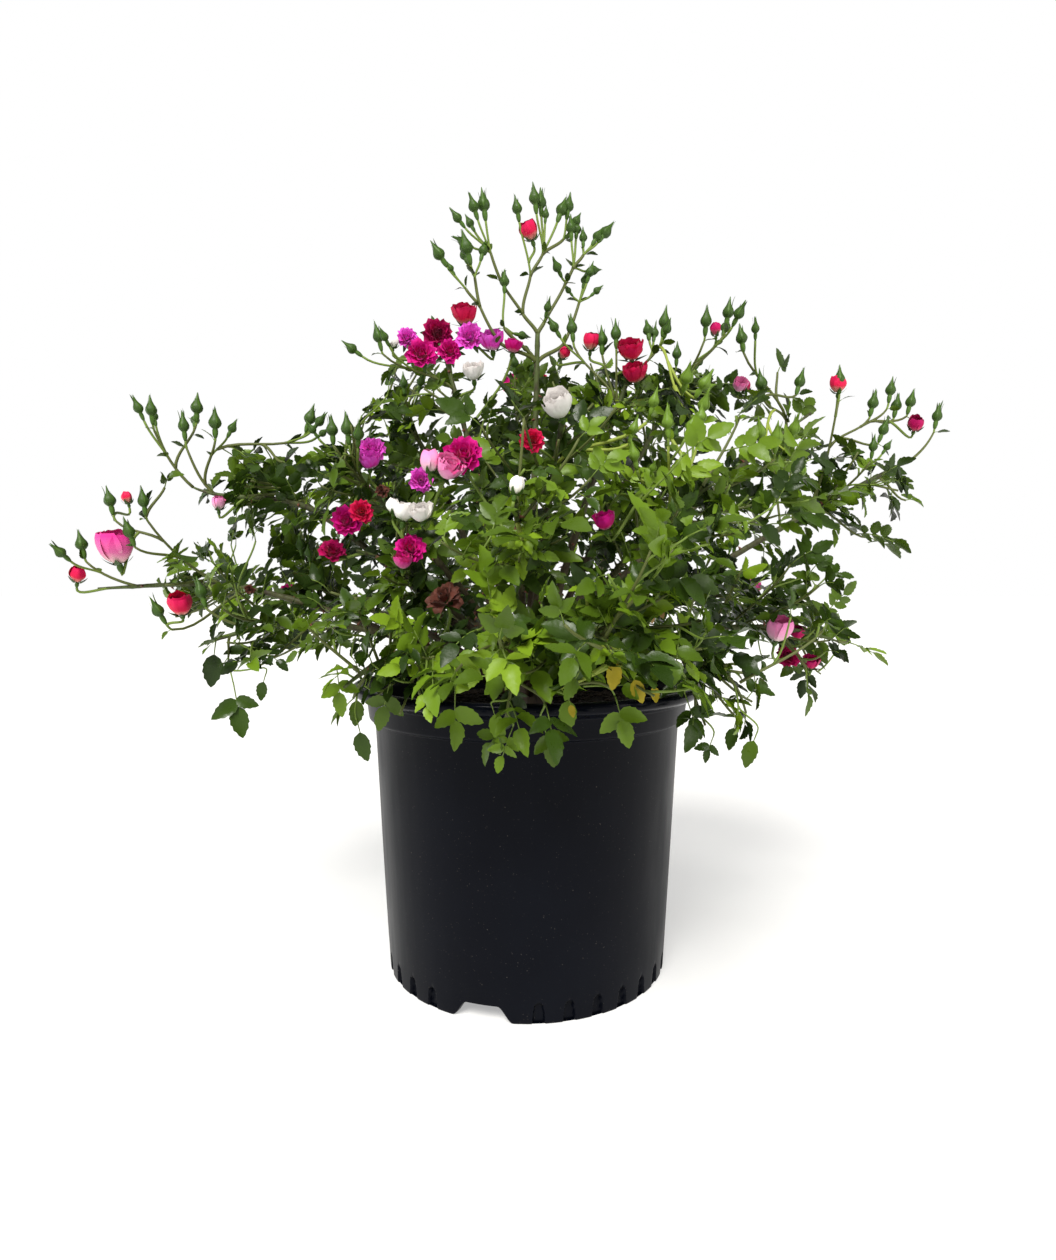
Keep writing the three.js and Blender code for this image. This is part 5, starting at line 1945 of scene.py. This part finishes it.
    def dress(self, index: int, limb: Limb, random: Random, placed: list[Array]) -> None:
        """Sets leaves along a twig.

        Leaves leave the twig at even steps, each turned 137.5 degrees from the last, leaning forwards and
        outwards, with their blades facing up and out.

        Args:
            index: The mass.
            limb: The twig.
            random: The mass's generator.
            placed: The middles of the mass's leaves so far, which grows.
        """
        first, last = limb.leafy
        count = int(limb.length() * (last - first) / self.leaf_spacing + 0.5)
        if count == 0:
            return
        shares = np.linspace(last, first, count)
        roots, along = (np.array(column) for column in zip(*(limb.at(share) for share in shares)))
        side, above = level_frame(along)
        turn = (GOLDEN_TURN * np.arange(count) + random.uniform(0, 6.3))[:, None]
        out = side * np.cos(turn) + above * np.sin(turn) * 0.8
        lean = np.full((count, 1), self.leaf_lean)
        if last == 1.0:
            lean[0] = self.end_lean
        ways = unit(along * 0.5 + out * lean + UP * 0.12)
        faces = unit(UP + 0.9 * unit(roots * LEVEL) + random.normal(scale=0.3, size=(count, 3)))
        scales = random.uniform(*self.leaf_scales, count)
        scales = scales * (1.1 if limb.free else 1.0 if limb.order < 2 else 0.88)
        pairs = random.choice([1, 2, 2, 2, 3], count)
        if limb.free:
            pairs[0] = 1
        middle = roots + ways * self.leaves.stalk_length(scales, pairs)[:, None]
        tip = middle + ways * 17 * scales[:, None]
        kept = self.allowed(index, middle, tip, limb.free)
        if limb.free:
            kept[0] = True
        else:
            kept &= self.chosen(middle, tip, random)
        for number in np.flatnonzero(kept):
            near = any(np.sum((other - middle[number]) ** 2) < self.leaf_room**2 for other in placed)
            kept[number] = not near
            if not near:
                placed.append(middle[number])
                limb.held = max(limb.held, shares[number])
        tones = self.tones(limb.at(0.5)[0], count, random)
        self.leaves.add(*(part[kept] for part in (roots, ways, faces, scales, pairs, tones)))

    def chosen(self, middle: Array, tip: Array, random: Random) -> Array:
        """Tells which leaves grow by the outline and by chance.

        Few grow in the strip just over the rim, and fewer at the sides and the top than inside.

        Args:
            middle: The middles of the leaves, shape (n, 3).
            tip: Their tips.
            random: The mass's generator.

        Returns:
            Whether each one may grow.
        """
        holds = self.outline.holds
        over_rim = holds(tip - UP * self.rim_strip) | (random.uniform(size=len(tip)) < self.rim_share)
        x, y, z = middle.T
        sparse = (x < -90) | ((x > 90) & (z > 300)) | (z > 380)
        share = np.where((y < 40) | (z > 430), self.sparse_share, self.back_share)
        by_chance = random.uniform(size=len(tip)) < np.where(sparse, share, 1.0)
        return holds(tip, 3.0) & holds(middle) & over_rim & by_chance

    def allowed(self, index: int, middle: Array, tip: Array, free: bool) -> Array:
        """Tells which leaves stay in their space or are free, off the pot, in reach and out of sight lines.

        Args:
            index: The mass.
            middle: The middles of the leaves, shape (n, 3).
            tip: Their tips.
            free: Whether they may leave their space.

        Returns:
            Whether each one may grow.
        """
        frame = self.frame
        kept = free | (frame.depth(index, middle) > 0) & (frame.depth(index, tip) > self.least_depth)
        for points, radius in ((middle, 5.0), (tip, 3.0)):
            kept &= frame.free_place(points, radius, 0.0)
            for start, end, room in self.sights:
                way = end - start
                share = np.clip((points - start) @ way / (way @ way), 0, 1)[:, None]
                kept &= np.linalg.norm(points - start - share * way, axis=1) > room + self.sight_room
        return kept

    def build(self, stand: Stand) -> None:
        """Makes the pieces of the twigs, leaves, buds and blooms."""
        nodes = self.frame.nodes("mass")
        woody, green, young, bodies, fresh = (Surface() for _ in range(5))
        for limb in (limb for limbs in self.limbs for limb in limbs[1:] if limb.held > self.least_held):
            path = limb.drawn()
            radii = np.linspace(*limb.radii, len(limb.path))[None, : len(path)]
            target = young if limb.young else woody if limb.order < 2 else green
            target.add(tubes(path[None], radii, self.twig_sides), closed=True)
        self.leaves.build(stand, green, nodes)
        self.buds.build(bodies, self.sepals, False)
        self.buds.build(fresh, fresh, True)
        bud_finish = StemFinish("bud_green", (0.058, 0.128, 0.013), 0.44)
        for name, surface, finish, slot in (
            ("twigs_woody", woody, StemFinish("twig_olive", (0.095, 0.115, 0.028)), Slot.BARK),
            ("twigs_green", green, StemFinish("twig_green", (0.15, 0.225, 0.035)), Slot.FOLIAGE),
            ("twigs_young", young, StemFinish("twig_young", (0.27, 0.34, 0.05)), Slot.FOLIAGE),
            ("buds", bodies, bud_finish, Slot.FOLIAGE),
            ("urns", self.urns, bud_finish, Slot.FOLIAGE),
            ("buds_young", fresh, StemFinish("bud_young", (0.13, 0.23, 0.02), 0.44), Slot.FOLIAGE),
            ("sepals", self.sepals, StemFinish("sepal_green", (0.036, 0.082, 0.009), 0.47), Slot.FOLIAGE),
        ):
            stand.place(name, surface, finish, slot, nodes)
        petals = {hue: Surface() for hue in Hue}
        for number, (bloom, facing) in enumerate(self.blooms):
            random = np.random.default_rng(TWIG_SEED + 31 * number)
            petals[bloom.hue].add(self.bed.petals(bloom, facing, random))
        for hue, surface in petals.items():
            stand.place(hue.value.name, surface, hue.value, Slot.FOLIAGE, nodes)


@dataclass
class Canes:
    """The short stem and the canes, with the relief of their bark and their prickles."""

    frame: Framework
    sides: int = 10
    row_step: float = 3.2
    node_step: float = 23.0
    node_place: float = 6.0
    swelling: float = 0.16
    taper_start: float = 0.91
    taper: float = 4.5
    streak_size: float = 5.0
    streak_depths: Pair = (0.3, 0.08)
    prickles: int = 11
    prickle_rises: tuple[float, ...] = (-0.6, 0.8, 1.9, 3.1)
    prickle_sinks: tuple[float, ...] = (0.0, 0.0, -0.5, -1.5)
    prickle_radii: tuple[float, ...] = (1.5, 0.85, 0.42, 0.08)
    prickle_sides: int = 5
    stem_sides: int = 84
    stem_rows: int = 44
    stem_cap: float = 0.5
    fissure_size: float = 8.0
    lobe_size: float = 24.0
    relief: float = 0.9

    def cane_grid(self, index: int) -> Array:
        """Carries an uneven ring along a cane: its taper, a swelling at each node, and streaked relief.

        Args:
            index: The cane's row.

        Returns:
            A grid, shape (1, rows, sides, 3).
        """
        fine = cubic(self.frame.curves[index], np.linspace(0, 1, 60))
        length = float(np.linalg.norm(np.diff(fine, axis=0), axis=1).sum())
        drawn = self.frame.canes[index].drawn
        shares = np.linspace(0.0, drawn, int(drawn * length / self.row_step))
        path = self.frame.line(index, shares)[None]
        radii = mix(CANE_ROOT_RADIUS, CANE_TIP_RADIUS * 0.8, shares)
        radii = radii * np.minimum(1, 1 - self.taper * (shares - self.taper_start))
        from_node = (shares * length) % self.node_step - self.node_place
        swelling = self.swelling * np.exp(-(from_node**2) / 6.0)
        rings = tubes(path, (radii * (1 + swelling))[None], self.sides)
        streaks = ripple(rings * [1.0, 1.0, 0.35], self.streak_size, 17 + index)
        rough = mix(*self.streak_depths, shares)[None, :, None]
        return rings + unit(rings - path[:, :, None]) * (streaks * rough)[..., None]

    def prickle_grids(self, index: int) -> Array:
        """Sets hooked prickles along a cane: cones that bend back towards the root.

        Args:
            index: The cane's row.

        Returns:
            Grids, shape (prickles, 4, sides, 3).
        """
        numbers = np.arange(self.prickles)
        shares = ((numbers + 0.5) / self.prickles * 0.8 + 0.12) * self.frame.canes[index].drawn
        points, along = self.frame.line(index, shares), cubic_way(self.frame.curves[index], shares)
        side, above = level_frame(along)
        turn = (GOLDEN_TURN * numbers * 1.7)[:, None]
        out = side * np.cos(turn) + above * np.sin(turn)
        radius = mix(CANE_ROOT_RADIUS, CANE_TIP_RADIUS, shares)[:, None]
        rises, sinks = np.array(self.prickle_rises)[:, None], np.array(self.prickle_sinks)[:, None]
        paths = points[:, None] + out[:, None] * (radius[:, None] + rises) + along[:, None] * sinks
        return tubes(paths, np.tile(self.prickle_radii, (self.prickles, 1)), self.prickle_sides)

    def stem_grid(self) -> Array:
        """Turns the short stem: its flare and shoulder, lobed under the canes, with upright fissures."""
        top = STEM_HEIGHT + self.stem_cap
        heights = np.array([0.0, 2.0, 5.0, 8.0, 15.0, 22.0, 28.0, 33.0, 37.0, 40.0, STEM_HEIGHT, top])
        radii = [STEM_FLARE_RADIUS, 24.6, 22.0, 20.0, 18.3, 17.2, 17.6, STEM_RADIUS, 16.4, 13.8, 10.4, 1.0]
        fine = np.concatenate([np.linspace(0, STEM_HEIGHT, self.stem_rows), [top]])
        radius = np.interp(fine, heights, radii)[:, None]
        turns = np.arange(self.stem_sides) * 2 * math.pi / self.stem_sides
        points = turned(radius, (MIX_TOP + GAP + fine)[:, None], turns)
        fissures = np.abs(ripple(points * [1.0, 1.0, 0.3], self.fissure_size, 5))
        lobes = ripple(points, self.lobe_size, 6)
        shift = np.where(radius > 5, self.relief * fissures - 1.2 + self.relief * lobes, 0.0)
        return (points + turned(1.0, 0.0, turns) * shift[..., None])[None]

    def build(self, stand: Stand) -> None:
        """Makes the pieces of the bark."""
        boughs = self.frame.nodes("bough")
        bark, prickles, stem = Surface(), Surface(), Surface()
        for index in range(len(self.frame.canes)):
            bark.add(self.cane_grid(index), closed=True)
            prickles.add(self.prickle_grids(index), closed=True)
        stem.add(self.stem_grid(), closed=True)
        stand.place("cane_bark", bark, BarkFinish(), Slot.BARK, boughs + self.frame.nodes("mass"))
        stand.place("prickles", prickles, StemFinish("prickle_brown", (0.16, 0.06, 0.035)), Slot.BARK, boughs)
        crown = BarkFinish("stem_bark", (0.06, 0.042, 0.028), (0.075, 0.055, 0.036), (0.06, 0.045, 0.03))
        stand.place("stem_bark", stem, crown, Slot.BARK, ["short_stem"])


@dataclass(frozen=True)
class Lamp:
    """A soft rectangular lamp: its place, what it points at, its size in metres, its power and its colour."""

    name: str
    place: Place
    target: Place
    size: Pair
    power: float
    colour: Colour

    def build(self) -> None:
        """Puts the lamp into the scene."""
        light = bpy.data.lights.new(self.name, "AREA")
        light.shape = "RECTANGLE"
        light.size, light.size_y = self.size
        light.energy = self.power
        light.color = self.colour
        lamp = link(self.name, light)
        lamp.location = self.place
        way = Vector(np.subtract(self.target, self.place))
        lamp.rotation_euler = way.to_track_quat("-Z", "Y").to_euler()


@dataclass
class Studio:
    """The floor, the soft lights, the white surround and the camera."""

    place: Place = (0.001, -0.6494, 0.3024)
    pitch: float = -2.94
    lens: float = 22.7
    sensor: float = 36.0
    nearest: float = 0.01
    surround: float = 0.36
    surround_colour: Colour = (1.0, 0.985, 0.955)
    sun_power: float = 4.1
    sun_colour: Colour = (1.0, 0.98, 0.93)
    sun_width: float = 28.0
    sun_tilt: Pair = (40.0, -13.0)
    floor_size: float = 30_000.0
    floor_colour: Colour = (0.6, 0.6, 0.6)
    floor_glow: float = 0.4
    lamps: tuple[Lamp, ...] = (
        Lamp("fill", (1.5, -0.7, 0.7), (0.0, 0.0, 0.2), (0.6, 1.2), 7.4, (1.0, 0.96, 0.91)),
        Lamp("left_edge", (-1.4, 0.25, 0.5), (0.0, 0.0, 0.15), (0.4, 1.2), 3.7, (0.93, 0.97, 1.0)),
    )

    def sun(self) -> None:
        """Adds the broad soft key light, high on the front left."""
        light = bpy.data.lights.new("key", "SUN")
        light.energy = self.sun_power
        light.color = self.sun_colour
        light.angle = math.radians(self.sun_width)
        link("key", light).rotation_euler = (*map(math.radians, self.sun_tilt), 0.0)

    def world(self) -> None:
        """Makes the surround white to look at, and softer as a light."""
        world = bpy.data.worlds.new("surround")
        world.use_nodes = True
        tree = world.node_tree
        light = tree.nodes["Background"]
        light.inputs["Color"].default_value = (*self.surround_colour, 1.0)
        light.inputs["Strength"].default_value = self.surround
        seen = tree.nodes.new("ShaderNodeBackground")
        seen.inputs["Color"].default_value = (*WHITE, 1.0)
        either = tree.nodes.new("ShaderNodeMixShader")
        tree.links.new(tree.nodes.new("ShaderNodeLightPath").outputs["Is Camera Ray"], either.inputs["Fac"])
        tree.links.new(light.outputs["Background"], either.inputs[1])
        tree.links.new(seen.outputs["Background"], either.inputs[2])
        tree.links.new(either.outputs["Shader"], tree.nodes["World Output"].inputs["Surface"])
        bpy.context.scene.world = world

    def floor(self) -> None:
        """Lays a pale floor under the pot, lit from below a little, as a light table is."""
        x, y = np.meshgrid([-self.floor_size, self.floor_size], [-self.floor_size, self.floor_size])
        surface = Surface()
        surface.add(np.stack([x, y, np.zeros_like(x)], axis=-1)[None])
        mesh = surface.mesh("floor")
        shader = Shader("floor_paper", self.floor_colour, 0.9, 0.1)
        shader.set({"Emission Color": (*WHITE, 1.0), "Emission Strength": self.floor_glow})
        shader.bump(shader.noise(60.0), 0.1, 0.2)
        mesh.materials.append(shader.material)
        link("floor", mesh)

    def camera(self) -> None:
        """Sets the camera at the photograph's viewpoint."""
        data = bpy.data.cameras.new("camera")
        data.lens = self.lens
        data.sensor_width = self.sensor
        data.clip_start = self.nearest
        camera = link("camera", data)
        camera.location = self.place
        camera.rotation_euler = (math.radians(90 + self.pitch), 0.0, 0.0)
        bpy.context.scene.camera = camera

    def build(self) -> None:
        """Sets the stage."""
        self.camera()
        self.world()
        self.floor()
        self.sun()
        for lamp in self.lamps:
            lamp.build()
        view = bpy.context.scene.view_settings
        view.view_transform = "Standard"
        view.look = "None"
        view.exposure = 0.0


def main() -> None:
    """Builds the stage and the pieces in order."""
    logging.basicConfig(level=logging.INFO, format="%(message)s")
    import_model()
    studio = Studio()
    studio.build()
    stand = Stand()
    NurseryPot().build(stand)
    PottingMix().build(stand)
    frame = Framework(CANES)
    Canes(frame).build(stand)
    growth = Growth(frame, Outline(np.array(studio.place) / METRES))
    growth.grow()
    growth.build(stand)


if __name__ == "__main__":
    main()
